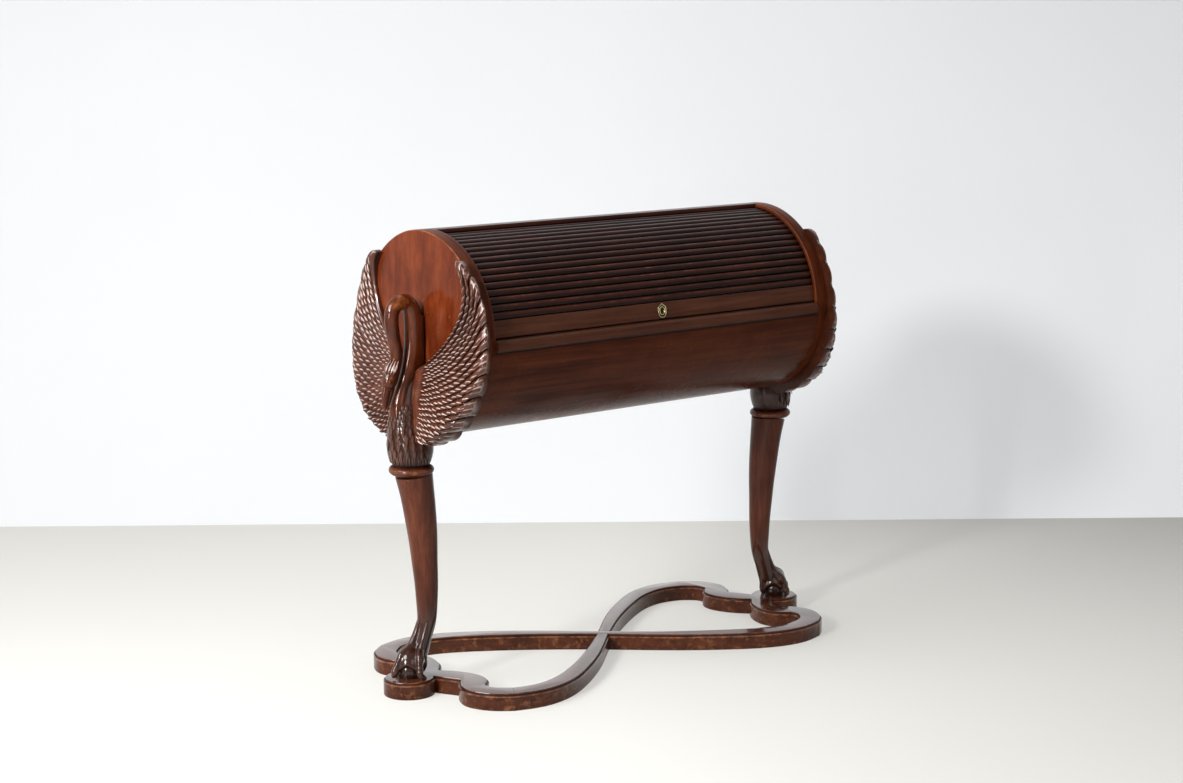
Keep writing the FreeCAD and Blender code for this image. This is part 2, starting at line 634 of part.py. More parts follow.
dowel_r = 5.0
dowel_len = 44.0
dowel_place = 0.22         # share of the joint's width on either side of its middle
joint_from, joint_to = flat([joint_in, joint_out])
across = joint_to.sub(joint_from)
middle = (joint_to + joint_from) * 0.5
dowel_axis = V(across.y, -across.x, 0).normalize()
dowels = []
for place in (-dowel_place, dowel_place):
    start = middle + across * place - dowel_axis * (dowel_len / 2.0) + V(0, 0, base_t / 2.0)
    dowel = Part.makeCylinder(dowel_r, dowel_len, start, dowel_axis)
    for one in (dowel, mirror_y(dowel)):
        dowels.append(one)
        dowels.append(mirror_x(one))
pegs = Part.makeCompound(dowels)
parts["base_rail_a"] = rail_a.cut(pegs)
parts["base_rail_b"] = rail_b.cut(pegs)
parts["base_end_right"] = end_piece.cut(pegs)
parts["base_end_left"] = mirror_x(end_piece).cut(pegs)
parts["base_dowels"] = pegs

# One file for each node

os.makedirs("parts", exist_ok=True)
for name in sorted(parts):
    parts[name].exportStep("parts/%s.step" % name)
print("%d nodes written" % len(parts))
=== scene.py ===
# Cylinder desk with swan ends: carving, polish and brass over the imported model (metres, front is -Y)
import bmesh
import bpy
import json
import math
import numpy as np
from mathutils import Matrix, Vector


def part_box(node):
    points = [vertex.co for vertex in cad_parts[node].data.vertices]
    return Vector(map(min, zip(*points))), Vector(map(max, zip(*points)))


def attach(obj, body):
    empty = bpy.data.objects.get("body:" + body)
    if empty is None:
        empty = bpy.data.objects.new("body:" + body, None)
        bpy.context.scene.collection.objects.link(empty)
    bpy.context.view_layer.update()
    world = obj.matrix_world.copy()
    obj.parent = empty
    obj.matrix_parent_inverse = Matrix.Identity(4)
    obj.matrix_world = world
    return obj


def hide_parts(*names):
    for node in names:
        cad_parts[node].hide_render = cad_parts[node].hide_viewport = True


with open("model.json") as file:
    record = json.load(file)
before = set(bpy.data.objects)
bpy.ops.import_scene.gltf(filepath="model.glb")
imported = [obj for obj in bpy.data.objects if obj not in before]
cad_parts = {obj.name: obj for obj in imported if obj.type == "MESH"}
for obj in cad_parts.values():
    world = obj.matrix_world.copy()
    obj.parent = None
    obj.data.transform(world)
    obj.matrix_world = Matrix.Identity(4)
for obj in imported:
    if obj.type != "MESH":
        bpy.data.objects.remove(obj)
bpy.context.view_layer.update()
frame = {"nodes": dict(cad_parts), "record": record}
scene = bpy.context.scene
scene.view_settings.view_transform = "Standard"
chance = np.random.default_rng(11)       # one fixed seed for all that is uneven


# A socket that takes part in sums
class Wire:
    def __init__(self, bench, socket):
        self.bench = bench
        self.socket = socket

    def sum(self, operation, a, b):
        return self.bench.add("ShaderNodeMath", {"operation": operation}, {0: a, 1: b})

    def __add__(self, other):
        return self.sum("ADD", self, other)

    def __radd__(self, other):
        return self.sum("ADD", other, self)

    def __sub__(self, other):
        return self.sum("SUBTRACT", self, other)

    def __rsub__(self, other):
        return self.sum("SUBTRACT", other, self)

    def __mul__(self, other):
        return self.sum("MULTIPLY", self, other)

    def __rmul__(self, other):
        return self.sum("MULTIPLY", other, self)

    def top(self, other):
        return self.sum("MAXIMUM", self, other)

    def clamp(self):
        return self.bench.add("ShaderNodeClamp", None, {"Value": self})


# Every other node comes from add(); a list of wires goes to one socket that takes several
class Bench:
    def __init__(self, tree):
        self.tree = tree

    def add(self, kind, settings=None, sockets=None, out=0):
        node = self.tree.nodes.new(kind)
        for key, value in (settings or {}).items():
            if key == "stops":
                ramp = node.color_ramp
                while len(ramp.elements) < len(value):
                    ramp.elements.new(0.5)
                for element, (at, colour) in zip(ramp.elements, value):
                    element.position = at
                    element.color = (*colour, 1)
            else:
                setattr(node, key, value)
        for key, value in (sockets or {}).items():
            target = node.inputs[key]
            wires = value if isinstance(value, list) else [value]
            if isinstance(wires[0], Wire):
                for wire in wires:
                    self.tree.links.new(wire.socket, target)
            elif target.type == "RGBA":
                target.default_value = (*value, 1)
            else:
                target.default_value = value
        return Wire(self, node.outputs[out]) if node.outputs else None

    def noise(self, place, scale, detail=4, rough=0.6, twist=0.0):
        return self.add("ShaderNodeTexNoise", None, {
            "Vector": place, "Scale": scale, "Detail": detail, "Roughness": rough, "Distortion": twist})

    def mix(self, share, a, b):
        return self.add("ShaderNodeMix", {"data_type": "RGBA"}, {0: share, 6: a, 7: b}, out=2)

    def ramp(self, value, *stops):
        return self.add("ShaderNodeValToRGB", {"stops": stops}, {"Fac": value})

    def bump(self, height, strength, deep):
        return self.add("ShaderNodeBump", None, {"Height": height, "Strength": strength, "Distance": deep})

    def mark(self, name):
        return self.add("ShaderNodeAttribute", {"attribute_name": name}, out="Fac")

    def given(self, label):
        return self.add("NodeGroupInput", out=label)


def newFinish(name):
    finish = bpy.data.materials.new(name)
    finish.use_nodes = True
    finish.node_tree.nodes.clear()
    bench = Bench(finish.node_tree)
    place = bench.add("ShaderNodeTexCoord", out="Object")
    return finish, bench, place


def shine(bench, sockets):
    bsdf = bench.add("ShaderNodeBsdfPrincipled", None, sockets)
    bench.add("ShaderNodeOutputMaterial", None, {"Surface": bsdf})


# What the woods share, unless a finish has its own; noises are (scale, detail, roughness, twist)
woodPlain = {
    "figure": (1.0, 5, 0.62, 0.7), "streak": (4.3, 4, 0.6), "pore": (17.0, 2, 0.5), "speck": (120.0, 3, 0.7),
    "drift": 7.0, "patch": 34.0, "figured": 1.5, "streaked": 1.0, "drifted": 0.9, "stops": (0.12, 0.5, 0.9),
    "pores": 0.35, "poreFrom": 0.55, "specks": 0.25, "speckFrom": 0.685, "stained": 0.7, "grimedAndShaded": 0.88,
    "rubAndSheen": 0.7, "rubAndSheenFrom": 0.62, "ragged": 1.8, "gloss": 0.2, "tint": (1, 1, 1), "bump": 0.25,
    "bumpDeep": 0.0006,
}


# Polished wood: grain along one axis, drift, pores, lighter for rubbed edges and painted highlights, darker
# for old polish in hollows and painted shade
def wood(name, own):
    cut = {**woodPlain, **own}
    finish, bench, place = newFinish(name)
    along = bench.add("ShaderNodeMapping", None, {"Vector": place, "Scale": cut["grain"]})
    figure, streak, pore = [bench.noise(along, *cut[key]) for key in ("figure", "streak", "pore")]
    cloud = bench.noise(place, cut["drift"], 3, 0.55)
    patch = bench.noise(place, cut["patch"], 4, 0.65)
    tone = (figure - 0.5) * cut["figured"] + (streak - 0.5) * cut["streaked"]
    tone = tone + (cloud - 0.5) * cut["drifted"] + 0.5
    colour = bench.ramp(tone, *zip(cut["stops"], (cut["deep"], cut["body"], cut["light"])))
    colour = bench.mix(((pore - cut["poreFrom"]) * 5.0).clamp() * cut["pores"], colour, cut["deep"])
    # lighter where rubbed, and where a highlight is painted into the mark
    rubbedAndSheen = ((bench.mark("wear") * 1.5 + (patch - 0.5) * cut["ragged"] - cut["rubAndSheenFrom"]) * 2.0).clamp()
    colour = bench.mix(rubbedAndSheen * cut["rubAndSheen"], colour, cut["wornAndSheen"])
    speck = ((bench.noise(place, *cut["speck"]) - cut["speckFrom"]) * 16.0).clamp()
    colour = bench.mix(speck * cut["specks"], colour, cut["wornAndSheen"])
    if "stain" in cut:                               # dark old polish, as on the feet
        colour = bench.mix(bench.mark("polish") * cut["stained"], colour, cut["stain"])
    # darker where old polish sits, and where shade is painted into the mark
    dirt = (bench.mark("dirt") * (0.7 + patch * 0.5)).clamp()
    colour = bench.mix(dirt * cut["grimedAndShaded"], colour, cut["grimeAndShade"])
    rough = (cut["rough"] + (cloud - 0.5) * 0.22 + (patch - 0.5) * 0.16 + dirt * 0.25).clamp()
    bump = bench.bump(streak * 0.5 + pore * 0.5 + patch * 0.8, cut["bump"], cut["bumpDeep"])
    sockets = {"Base Color": colour, "Roughness": rough, "Normal": bump,
               "Specular IOR Level": cut["gloss"], "Specular Tint": cut["tint"]}
    if "coat" in cut:                                # the clear polish thins out where dirt and painted shade sit
        polish = ((bench.mark("polish") + cut["coat"]) * (1 - dirt)).clamp()
        sockets.update({"Coat Weight": polish, "Coat Roughness": cut["coatRough"]})
    shine(bench, sockets)
    return finish


# Old metal: cloudy tarnish, bright where it is rubbed, fine pits
def metal(name, cut):
    finish, bench, place = newFinish(name)
    cloud = bench.noise(place, 60.0, 4, 0.6)
    pit = bench.noise(place, 420.0, 3, 0.6)
    rubbedAndSheen = ((bench.mark("wear") * 1.2 + (cloud - 0.5) * 1.4 - 0.35) * 2.0).clamp()
    colour = bench.ramp(cloud, (0.3, cut["deep"]), (0.7, cut["body"]))
    colour = bench.mix(rubbedAndSheen * 0.8, colour, cut["wornAndSheen"])
    colour = bench.mix((bench.mark("dirt") * 0.85).clamp(), colour, cut["grimeAndShade"])
    shine(bench, {"Base Color": colour, "Roughness": (cut["rough"] + (cloud - 0.5) * 0.3).clamp(),
                  "Metallic": 1.0, "Normal": bench.bump(pit, 0.2, 0.0003)})
    return finish


# Leather: fine cells and a cloudy dye
def hide(name, cut):
    finish, bench, place = newFinish(name)
    cell = bench.add("ShaderNodeTexVoronoi", {"feature": "DISTANCE_TO_EDGE"},
                     {"Vector": place, "Scale": cut["cells"]})
    cloud = bench.noise(place, 9.0, 4, 0.6)
    colour = bench.ramp(cloud, (0.3, cut["deep"]), (0.7, cut["body"]))
    shine(bench, {"Base Color": colour, "Roughness": (0.42 + cloud * 0.25).clamp(),
                  "Normal": bench.bump((cell * 6.0).clamp(), 0.35, 0.0004)})
    return finish


# Canvas: two sets of threads across each other
def weave(name, cut):
    finish, bench, place = newFinish(name)
    threads = []
    for way in ("X", "Z"):
        wave = bench.add("ShaderNodeTexWave", {"bands_direction": way}, {
            "Vector": place, "Scale": cut["threads"]})
        threads.append(bench.add("ShaderNodeSeparateColor", None, {"Color": wave}))
    cloth = threads[0] * 0.5 + threads[1] * 0.5
    colour = bench.mix(cloth, cut["deep"], cut["body"])
    rough = (0.86 + (bench.noise(place, 40.0) - 0.5) * 0.1).clamp()
    shine(bench, {"Base Color": colour, "Roughness": rough, "Normal": bench.bump(cloth, 0.4, 0.0004)})
    return finish


# The finishes; the numbers of grain are small along the fibres
ember = (0.30, 0.085, 0.020)
finishes = {
    "disc": wood("disc mahogany", {
        "grain": (11, 12, 3.2), "deep": (0.062, 0.0085, 0.0018), "body": (0.122, 0.021, 0.005),
        "light": (0.195, 0.041, 0.011), "wornAndSheen": (0.42, 0.20, 0.11), "grimeAndShade": (0.072, 0.021, 0.009),
        "rough": 0.15, "gloss": 0.6, "tint": (1.0, 0.62, 0.48), "specks": 0.5, "rubAndSheen": 0.5, "drift": 11.0}),
    "band": wood("band mahogany", {
        "grain": (24, 5, 5), "deep": (0.058, 0.012, 0.0038), "body": (0.100, 0.021, 0.0065),
        "light": (0.145, 0.035, 0.011), "wornAndSheen": ember, "grimeAndShade": (0.010, 0.003, 0.002), "rough": 0.34,
        "gloss": 0.08}),
    # the grime colour also paints the shadow under the nosing
    "belly": wood("belly mahogany", {
        "grain": (1.7, 34, 34), "deep": (0.048, 0.010, 0.0035), "body": (0.084, 0.019, 0.0068),
        "light": (0.124, 0.031, 0.011), "wornAndSheen": ember, "grimeAndShade": (0.008, 0.003, 0.002), "rough": 0.26,
        "gloss": 0.07}),
    # the worn colour also paints the highlight along each slat's crown, the near-black grime the shade below
    # and between slats
    "tambour": wood("tambour slats", {
        "grain": (2.2, 60, 60), "deep": (0.026, 0.006, 0.0034), "body": (0.047, 0.011, 0.0056),
        "light": (0.080, 0.018, 0.009), "wornAndSheen": (0.24, 0.072, 0.036), "grimeAndShade": (0.002, 0.0008, 0.0006),
        "rough": 0.22, "rubAndSheen": 0.75, "patch": 26.0}),
    # the grime colour also paints the shade along the nosing's top joint and the shadow under it
    "rail": wood("lock rail mahogany", {
        "grain": (1.6, 45, 45), "deep": (0.054, 0.0165, 0.008), "body": (0.089, 0.029, 0.0145),
        "light": (0.128, 0.043, 0.022), "wornAndSheen": ember, "grimeAndShade": (0.012, 0.004, 0.003), "rough": 0.34,
        "gloss": 0.14}),
    # the pale worn colour also stands for painted highlights on the carved leaves; the near-black grime for
    # painted shade in grooves, gaps and walls
    "carved": wood("carved feathers", {
        "grain": (22, 16, 16), "deep": (0.050, 0.011, 0.004), "body": (0.084, 0.020, 0.008),
        "light": (0.13, 0.036, 0.015), "wornAndSheen": (0.62, 0.46, 0.40), "grimeAndShade": (0.006, 0.002, 0.001),
        "rough": 0.34, "gloss": 0.08, "coat": 1.0, "coatRough": 0.12, "rubAndSheen": 0.68, "patch": 60.0,
        "ragged": 1.4, "bump": 0.15}),
    # worn and grime also paint the highlight and the shade on each carved feather
    "breast": wood("carved breast", {
        "grain": (22, 22, 9), "deep": (0.028, 0.0074, 0.0036), "body": (0.049, 0.0132, 0.0063),
        "light": (0.077, 0.0225, 0.011), "wornAndSheen": (0.23, 0.110, 0.072), "grimeAndShade": (0.006, 0.002, 0.001),
        "rough": 0.34, "gloss": 0.08, "coat": 0.8, "coatRough": 0.14, "rubAndSheen": 0.3, "patch": 50.0}),
    "neck": wood("polished swan neck", {
        "grain": (26, 26, 9), "deep": (0.036, 0.006, 0.0016), "body": (0.070, 0.0130, 0.0028),
        "light": (0.125, 0.025, 0.0058), "wornAndSheen": (0.40, 0.115, 0.020), "grimeAndShade": (0.010, 0.003, 0.002),
        "rough": 0.34, "gloss": 0.03, "coat": 0.68, "coatRough": 0.07, "bump": 0.06}),
    "leg": wood("leg mahogany", {
        "grain": (30, 30, 3.0), "deep": (0.044, 0.0092, 0.004), "body": (0.085, 0.0212, 0.0092),
        "light": (0.140, 0.0385, 0.0172), "wornAndSheen": (0.36, 0.14, 0.06), "grimeAndShade": (0.012, 0.004, 0.002),
        "rough": 0.34, "gloss": 0.06, "coat": 0.3, "coatRough": 0.09, "stain": (0.020, 0.006, 0.003)}),
    "foot": wood("foot ball", {
        "grain": (20, 20, 20), "deep": (0.010, 0.004, 0.003), "body": (0.020, 0.007, 0.005),
        "light": (0.036, 0.013, 0.008), "wornAndSheen": (0.2, 0.09, 0.05), "grimeAndShade": (0.006, 0.003, 0.002),
        "rough": 0.3, "gloss": 0.1, "coat": 0.8, "coatRough": 0.14}),
    "base": wood("base mahogany", {
        "grain": (2.6, 20, 30), "deep": (0.044, 0.011, 0.004), "body": (0.078, 0.021, 0.0085),
        "light": (0.125, 0.036, 0.014), "wornAndSheen": (0.33, 0.120, 0.050), "grimeAndShade": (0.010, 0.003, 0.002),
        "rough": 0.2, "specks": 0.6, "gloss": 0.16, "rubAndSheen": 0.8, "patch": 55.0, "ragged": 2.2, "bump": 0.15,
        "coat": 0.1, "coatRough": 0.09}),
    "case": wood("case mahogany", {
        "grain": (3.0, 40, 40), "deep": (0.16, 0.07, 0.034), "body": (0.26, 0.12, 0.06),
        "light": (0.34, 0.17, 0.09), "wornAndSheen": (0.42, 0.22, 0.11), "grimeAndShade": (0.05, 0.02, 0.01), "rough": 0.42}),
    "plain": wood("plain carcass wood", {
        "grain": (2.4, 30, 30), "deep": (0.30, 0.18, 0.09), "body": (0.42, 0.27, 0.15),
        "light": (0.52, 0.35, 0.21), "wornAndSheen": (0.56, 0.40, 0.26), "grimeAndShade": (0.12, 0.07, 0.04), "rough": 0.62}),
    "brass": metal("aged brass", {
        "deep": (0.14, 0.105, 0.045), "body": (0.33, 0.25, 0.12), "wornAndSheen": (0.78, 0.64, 0.36),
        "grimeAndShade": (0.02, 0.014, 0.008), "rough": 0.40}),
    "iron": metal("dark iron", {
        "deep": (0.06, 0.055, 0.05), "body": (0.14, 0.13, 0.12), "wornAndSheen": (0.34, 0.32, 0.30),
        "grimeAndShade": (0.02, 0.015, 0.012), "rough": 0.52}),
    "leather": hide("green writing leather", {
        "deep": (0.045, 0.065, 0.028), "body": (0.10, 0.13, 0.06), "cells": 620.0}),
    "canvas": weave("unbleached canvas", {
        "deep": (0.30, 0.25, 0.18), "body": (0.46, 0.39, 0.29), "threads": 260.0}),
}
print("finishes:", len(finishes))


# Mesh helpers
def smoothLine(points, count):       # a cubic through a few points, sampled evenly
    p = np.array(points, float)
    gap = np.linalg.norm(np.diff(p, axis=0), axis=1)
    last = len(p) - 1
    m = np.eye(last + 1)
    r = np.zeros_like(p)
    for i in range(1, last):
        m[i, i - 1:i + 2] = gap[i - 1], 2 * (gap[i - 1] + gap[i]), gap[i]
        r[i] = 6 * ((p[i + 1] - p[i]) / gap[i] - (p[i] - p[i - 1]) / gap[i - 1])
    bend = np.linalg.solve(m, r)
    at = np.concatenate(([0], np.cumsum(gap)))
    s = np.linspace(0, at[-1], count)
    k = np.clip(np.searchsorted(at, s, "right") - 1, 0, last - 1)
    h = gap[k][:, None]
    u = (s - at[k])[:, None] / h
    w = 1 - u
    return w * p[k] + u * p[k + 1] + h * h / 6 * ((w ** 3 - w) * bend[k] + (u ** 3 - u) * bend[k + 1])


def ease(a, b, x):                   # 0 at a, 1 at b, soft at both
    u = np.clip((x - a) / (b - a), 0, 1)
    return u * u * (3 - 2 * u)


def hump(x, at, wide):               # 1 at one place, falling off on both sides
    return np.exp(-((x - at) / wide) ** 2)


def circle(sides):                   # the angles of a full turn
    return np.linspace(0, 2 * math.pi, sides, endpoint=False)


def unit(v):
    return v / np.linalg.norm(v, axis=-1, keepdims=True)


def skin(rings, caps=True):          # quads between rows of points that close on themselves
    n, m = rings.shape[:2]
    faces = []
    for i in range(n - 1):
        for j in range(m):
            k = (j + 1) % m
            faces.append((i * m + j, i * m + k, (i + 1) * m + k, (i + 1) * m + j))
    if caps:
        faces.append(tuple(range(m))[::-1])
        faces.append(tuple(range((n - 1) * m, n * m)))
    return rings.reshape(-1, 3), faces


def gridFaces(rows, columns):        # quads of an open grid, and the points round its rim
    faces = []
    for i in range(rows - 1):
        for j in range(columns - 1):
            k = i * columns + j
            faces.append((k, k + 1, k + columns + 1, k + columns))
    rim = list(range(columns))
    rim += [i * columns + columns - 1 for i in range(1, rows)]
    rim += [(rows - 1) * columns + j for j in range(columns - 2, -1, -1)]
    rim += [i * columns for i in range(rows - 2, 0, -1)]
    return faces, rim


def joined(shells):                  # several shells as one list of points and faces
    points = []
    faces = []
    count = 0
    for verts, own in shells:
        points.append(np.asarray(verts, float))
        faces += [tuple(i + count for i in face) for face in own]
        count += len(verts)
    return np.concatenate(points), faces


def setMarks(mesh, marks):           # named values on the points, a number or a vector each
    for key, values in marks.items():
        values = np.asarray(values, np.float32)
        if values.ndim == 2:
            mesh.attributes.new(key, "FLOAT_VECTOR", "POINT").data.foreach_set("vector", values.ravel())
        else:
            mesh.attributes.new(key, "FLOAT", "POINT").data.foreach_set("value", values)


def addMesh(name, verts, faces, marks=None):
    mesh = bpy.data.meshes.new(name)
    mesh.from_pydata(np.asarray(verts, float).tolist(), [], faces)
    setMarks(mesh, marks or {})
    piece = bpy.data.objects.new(name, mesh)
    scene.collection.objects.link(piece)
    return piece


def settle(piece):                   # modifiers become a plain mesh
    bpy.context.view_layer.update()
    graph = bpy.context.evaluated_depsgraph_get()
    mesh = bpy.data.meshes.new_from_object(piece.evaluated_get(graph))
    piece.modifiers.clear()
    piece.data = mesh
    return piece


def carve(piece, cutter):
    tool = piece.modifiers.new("cut", "BOOLEAN")
    tool.operation = "DIFFERENCE"
    tool.solver = "EXACT"
    tool.object = cutter
    settle(piece)


def drop(obj):
    bpy.data.objects.remove(obj)


def outward(piece):                  # doubles merged, faces turned outwards
    shell = bmesh.new()
    shell.from_mesh(piece.data)
    bmesh.ops.remove_doubles(shell, verts=shell.verts, dist=2e-6)
    bmesh.ops.recalc_face_normals(shell, faces=shell.faces)
    shell.to_mesh(piece.data)
    shell.free()
    return piece


# Normals, smooth shading, finish, body, slot and the nodes it stands for
def dress(piece, finish, stands=(), body="carcass", angle=35):
    mesh = outward(piece).data
    mesh.shade_smooth()
    mesh.set_sharp_from_angle(angle=math.radians(angle))
    mesh.materials.clear()
    mesh.materials.append(finishes[finish])
    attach(piece, body)
    if stands:
        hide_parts(*stands)
    return piece


def mirrorPiece(piece, name, sides):     # a copy turned over in x or y, with its faces put right
    mesh = piece.data.copy()
    mesh.transform(Matrix.Diagonal((*sides, 1, 1)))
    mesh.flip_normals()
    twin = bpy.data.objects.new(name, mesh)
    scene.collection.objects.link(twin)
    return twin


def dressPair(piece, finish, node=None, angle=35):       # a piece, and its twin at the desk's other end
    ends = ("Left", "Right") if piece.name.endswith("Left") else ("Right", "Left")
    twin = mirrorPiece(piece, piece.name.replace(*ends), (-1, 1))
    for half, end in zip((piece, twin), ends):
        dress(half, finish, node and [f"{node}_{end.lower()}"], angle=angle)
    return piece, twin


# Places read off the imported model, and the slats' two radii
panelLow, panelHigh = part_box("end_panel_left")
bandLow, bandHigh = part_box("rim_band_left")
drum = {
    "radius": (panelHigh.y - panelLow.y) / 2,
    "height": panelHigh.z - (panelHigh.y - panelLow.y) / 2,
    "faceX": -panelLow.x,
    "innerX": -panelHigh.x,
    "openX": -bandHigh.x,
    "tambour": 0.2115,
    "slatBack": 0.201,
}
drum["bellyTop"] = math.degrees(math.asin((bandLow.z - drum["height"]) / drum["radius"]))
r = drum["radius"]


def onDrum(x, r, turn):              # turn is measured from the front, up over the top, in radians
    x, r, turn = np.broadcast_arrays(x, r, turn)
    return np.stack((x, -r * np.cos(turn), drum["height"] + r * np.sin(turn)), -1)


def arcSweep(profile, start, end, steps):    # a closed (x, r) outline swept round the drum's axis
    x, r = np.array(profile, float).T
    return np.array([onDrum(x, r, math.radians(a)) for a in np.linspace(start, end, steps)])


def railPoint(x, t, r, turn):        # t is measured up along the drum at that turn
    x, t, r = np.broadcast_arrays(x, t, r)
    c, s = math.cos(turn), math.sin(turn)
    return np.stack((x, -r * c + t * s, drum["height"] + r * s + t * c), -1)


# End panels: discs with a bevelled rim
panelCut = {"edge": 0.0018, "steps": 5, "sides": 224, "seam": 0.0005, "flat": 0.0008, "wear": 0.65,
            "insideRings": (0.0004, 0.1), "faceRings": (0.212, 0.2, 0.18, 0.15, 0.1, 0.05, 0.0004)}
e, seam = panelCut["edge"], panelCut["seam"]
inside, front = -drum["innerX"], -drum["faceX"]
bevel = [(front + e - e * math.sin(a), r - e + e * math.cos(a))
         for a in np.linspace(0, math.pi / 2, panelCut["steps"])]
profile = [(inside, q) for q in panelCut["insideRings"]] + [(inside, r - seam), (inside - seam, r)]
rubbedAndSheen = [0] * (len(profile) + 1) + [panelCut["wear"]] * (len(bevel) - 1)
profile += bevel + [(front, q) for q in (r - e - panelCut["flat"], *panelCut["faceRings"])]
rubbedAndSheen += [0] * (len(profile) - len(rubbedAndSheen))
rings = np.array([onDrum(x, q, circle(panelCut["sides"])) for x, q in profile])
panel = addMesh("endPanelLeft", *skin(rings), {"wear": np.repeat(rubbedAndSheen, panelCut["sides"])})
for piece in dressPair(panel, "disc", "end_panel"):      # the rim is as dark as the bands
    piece.data.materials.append(finishes["band"])
    for face in piece.data.polygons:
        if math.hypot(face.center.y, face.center.z - drum["height"]) > r - 0.5 * e:
            face.material_index = 1

# Rim bands: a lip over the tambour's ends, rubbed along its edge
bandCut = {"inner": 0.2118, "edge": 0.0012, "soft": 0.3, "seam": 0.0004, "ease": 0.0005, "steps": 150,
           "wear": [0, 0, 0, 0.35, 0.95, 0.3, 0, 0], "dirt": [0, 0.7, 0.4, 0, 0, 0, 0.5, 0.8]}
a, b, low = -drum["innerX"], -drum["openX"], bandCut["inner"]
e, small = bandCut["edge"], bandCut["ease"]
soft = bandCut["soft"] * e
profile = [(a, low), (a, r - bandCut["seam"]), (a + small, r), (b - e, r), (b - soft, r - soft), (b, r - e),
           (b, low + small), (b - small, low)]
rings = arcSweep(profile, drum["bellyTop"], 180, bandCut["steps"])
marks = {key: np.tile(bandCut[key], bandCut["steps"]) for key in ("wear", "dirt")}
dressPair(addMesh("rimBandLeft", *skin(rings), marks), "band", "rim_band")

# Belly, back and top rail
bellyCut = {"skin": 0.0015, "backSkin": 0.0012, "steps": 120, "edge": (0.0004, 0.0003)}
topCut = {"from": 86.0, "to": 90.0, "thick": 0.0083, "edge": 0.0026, "lip": 0.0006, "lipTurn": 0.003,
          "roundFrom": 0.3, "roundSteps": 5}
easeX, easeR = bellyCut["edge"]
for name, node, half, thick, start, end in (
        ("bellySkin", "belly_veneer", drum["innerX"], bellyCut["skin"], -180, drum["bellyTop"]),
        ("backSkin", "back_veneer", drum["openX"], bellyCut["backSkin"], topCut["to"], 180)):
    profile = [(-half, r - thick), (-half, r - easeR), (-half + easeX, r),
               (half - easeX, r), (half, r - easeR), (half, r - thick)]
    grimeAndShade = np.zeros((bellyCut["steps"], len(profile)))
    if node == "belly_veneer":                       # painted shadow under the nosing
        grimeAndShade[-1] = 1
    rings = arcSweep(profile, start, end, bellyCut["steps"])
    dress(addMesh(name, *skin(rings), {"dirt": grimeAndShade.ravel()}), "belly", [node])

e, low = topCut["edge"], r - topCut["thick"]
front, back = math.radians(topCut["from"]), math.radians(topCut["to"])
outline = [(low, back), (low, front + topCut["lipTurn"]), (low + topCut["lip"], front), (r - e, front)]
outline += [(r - e * (1 - math.sin(s)), front + e / r * (1 - math.cos(s)))
            for s in np.linspace(topCut["roundFrom"], math.pi / 2, topCut["roundSteps"])]
outline += [(r, back)]
radii, turns = np.array(outline).T
rings = np.array([onDrum(x, radii, turns) for x in (-drum["openX"], drum["openX"])])
dress(addMesh("topRail", *skin(rings)), "tambour", ["top_rail"], angle=25)
print("drum: panels, bands, belly, back, top rail")


# Geometry Nodes trees: slats round the drum, and carved shapes set on points over a ground
def newTree(name, inputs):
    tree = bpy.data.node_groups.new(name, "GeometryNodeTree")
    for label, kind in inputs:
        tree.interface.new_socket(name=label, in_out="INPUT", socket_type="NodeSocket" + kind)
    tree.interface.new_socket(name="Geometry", in_out="OUTPUT", socket_type="NodeSocketGeometry")
    return tree, Bench(tree)


def runTree(piece, tree, values):
    tool = piece.modifiers.new(tree.name, "NODES")
    tool.node_group = tree
    for item in tree.interface.items_tree:
        if item.in_out == "INPUT" and item.name in values:
            tool[item.identifier] = values[item.name]
    return settle(piece)


def treeEnd(bench, geometry):
    solid = bench.add("GeometryNodeRealizeInstances", None, {"Geometry": geometry})
    done = bench.add("GeometryNodeSetMaterial", None, {"Geometry": solid, "Material": bench.given("Finish")})
    bench.add("NodeGroupOutput", None, {"Geometry": done})


slatTree, bench = newTree("slats round the drum", [
    ("Slat", "Object"), ("Count", "Int"), ("First Turn", "Float"), ("Pitch", "Float"),
    ("Axis Height", "Float"), ("Finish", "Material")])
axle = bench.add("ShaderNodeCombineXYZ", None, {"Z": bench.given("Axis Height")})
line = bench.add("GeometryNodeMeshLine", None, {
    "Count": bench.given("Count"), "Start Location": axle, "Offset": (0, 0, 0)})
order = bench.add("GeometryNodeInputIndex")
tilt = bench.add("ShaderNodeCombineXYZ", None, {
    "X": 0 - (bench.given("First Turn") + bench.given("Pitch") * order)})
turned = bench.add("FunctionNodeEulerToRotation", None, {0: tilt})
model = bench.add("GeometryNodeObjectInfo", None, {"Object": bench.given("Slat")}, out="Geometry")
treeEnd(bench, bench.add("GeometryNodeInstanceOnPoints", None, {
    "Points": line, "Instance": model, "Rotation": turned}))

featherTree, bench = newTree("carving on a ground", [
    ("Geometry", "Geometry"), ("Places", "Object"), ("Shape", "Object"), ("Finish", "Material")])
points, model = [bench.add("GeometryNodeObjectInfo", None, {"Object": bench.given(label)}, out="Geometry")
                 for label in ("Places", "Shape")]
turn, size = [bench.add("GeometryNodeInputNamedAttribute", {"data_type": "FLOAT_VECTOR"}, {"Name": label})
              for label in ("turn", "size")]
turned = bench.add("FunctionNodeEulerToRotation", None, {0: turn})
leaves = bench.add("GeometryNodeInstanceOnPoints", None, {
    "Points": points, "Instance": model, "Rotation": turned, "Scale": size})
treeEnd(bench, bench.add("GeometryNodeJoinGeometry", None, {0: [leaves, bench.given("Geometry")]}))


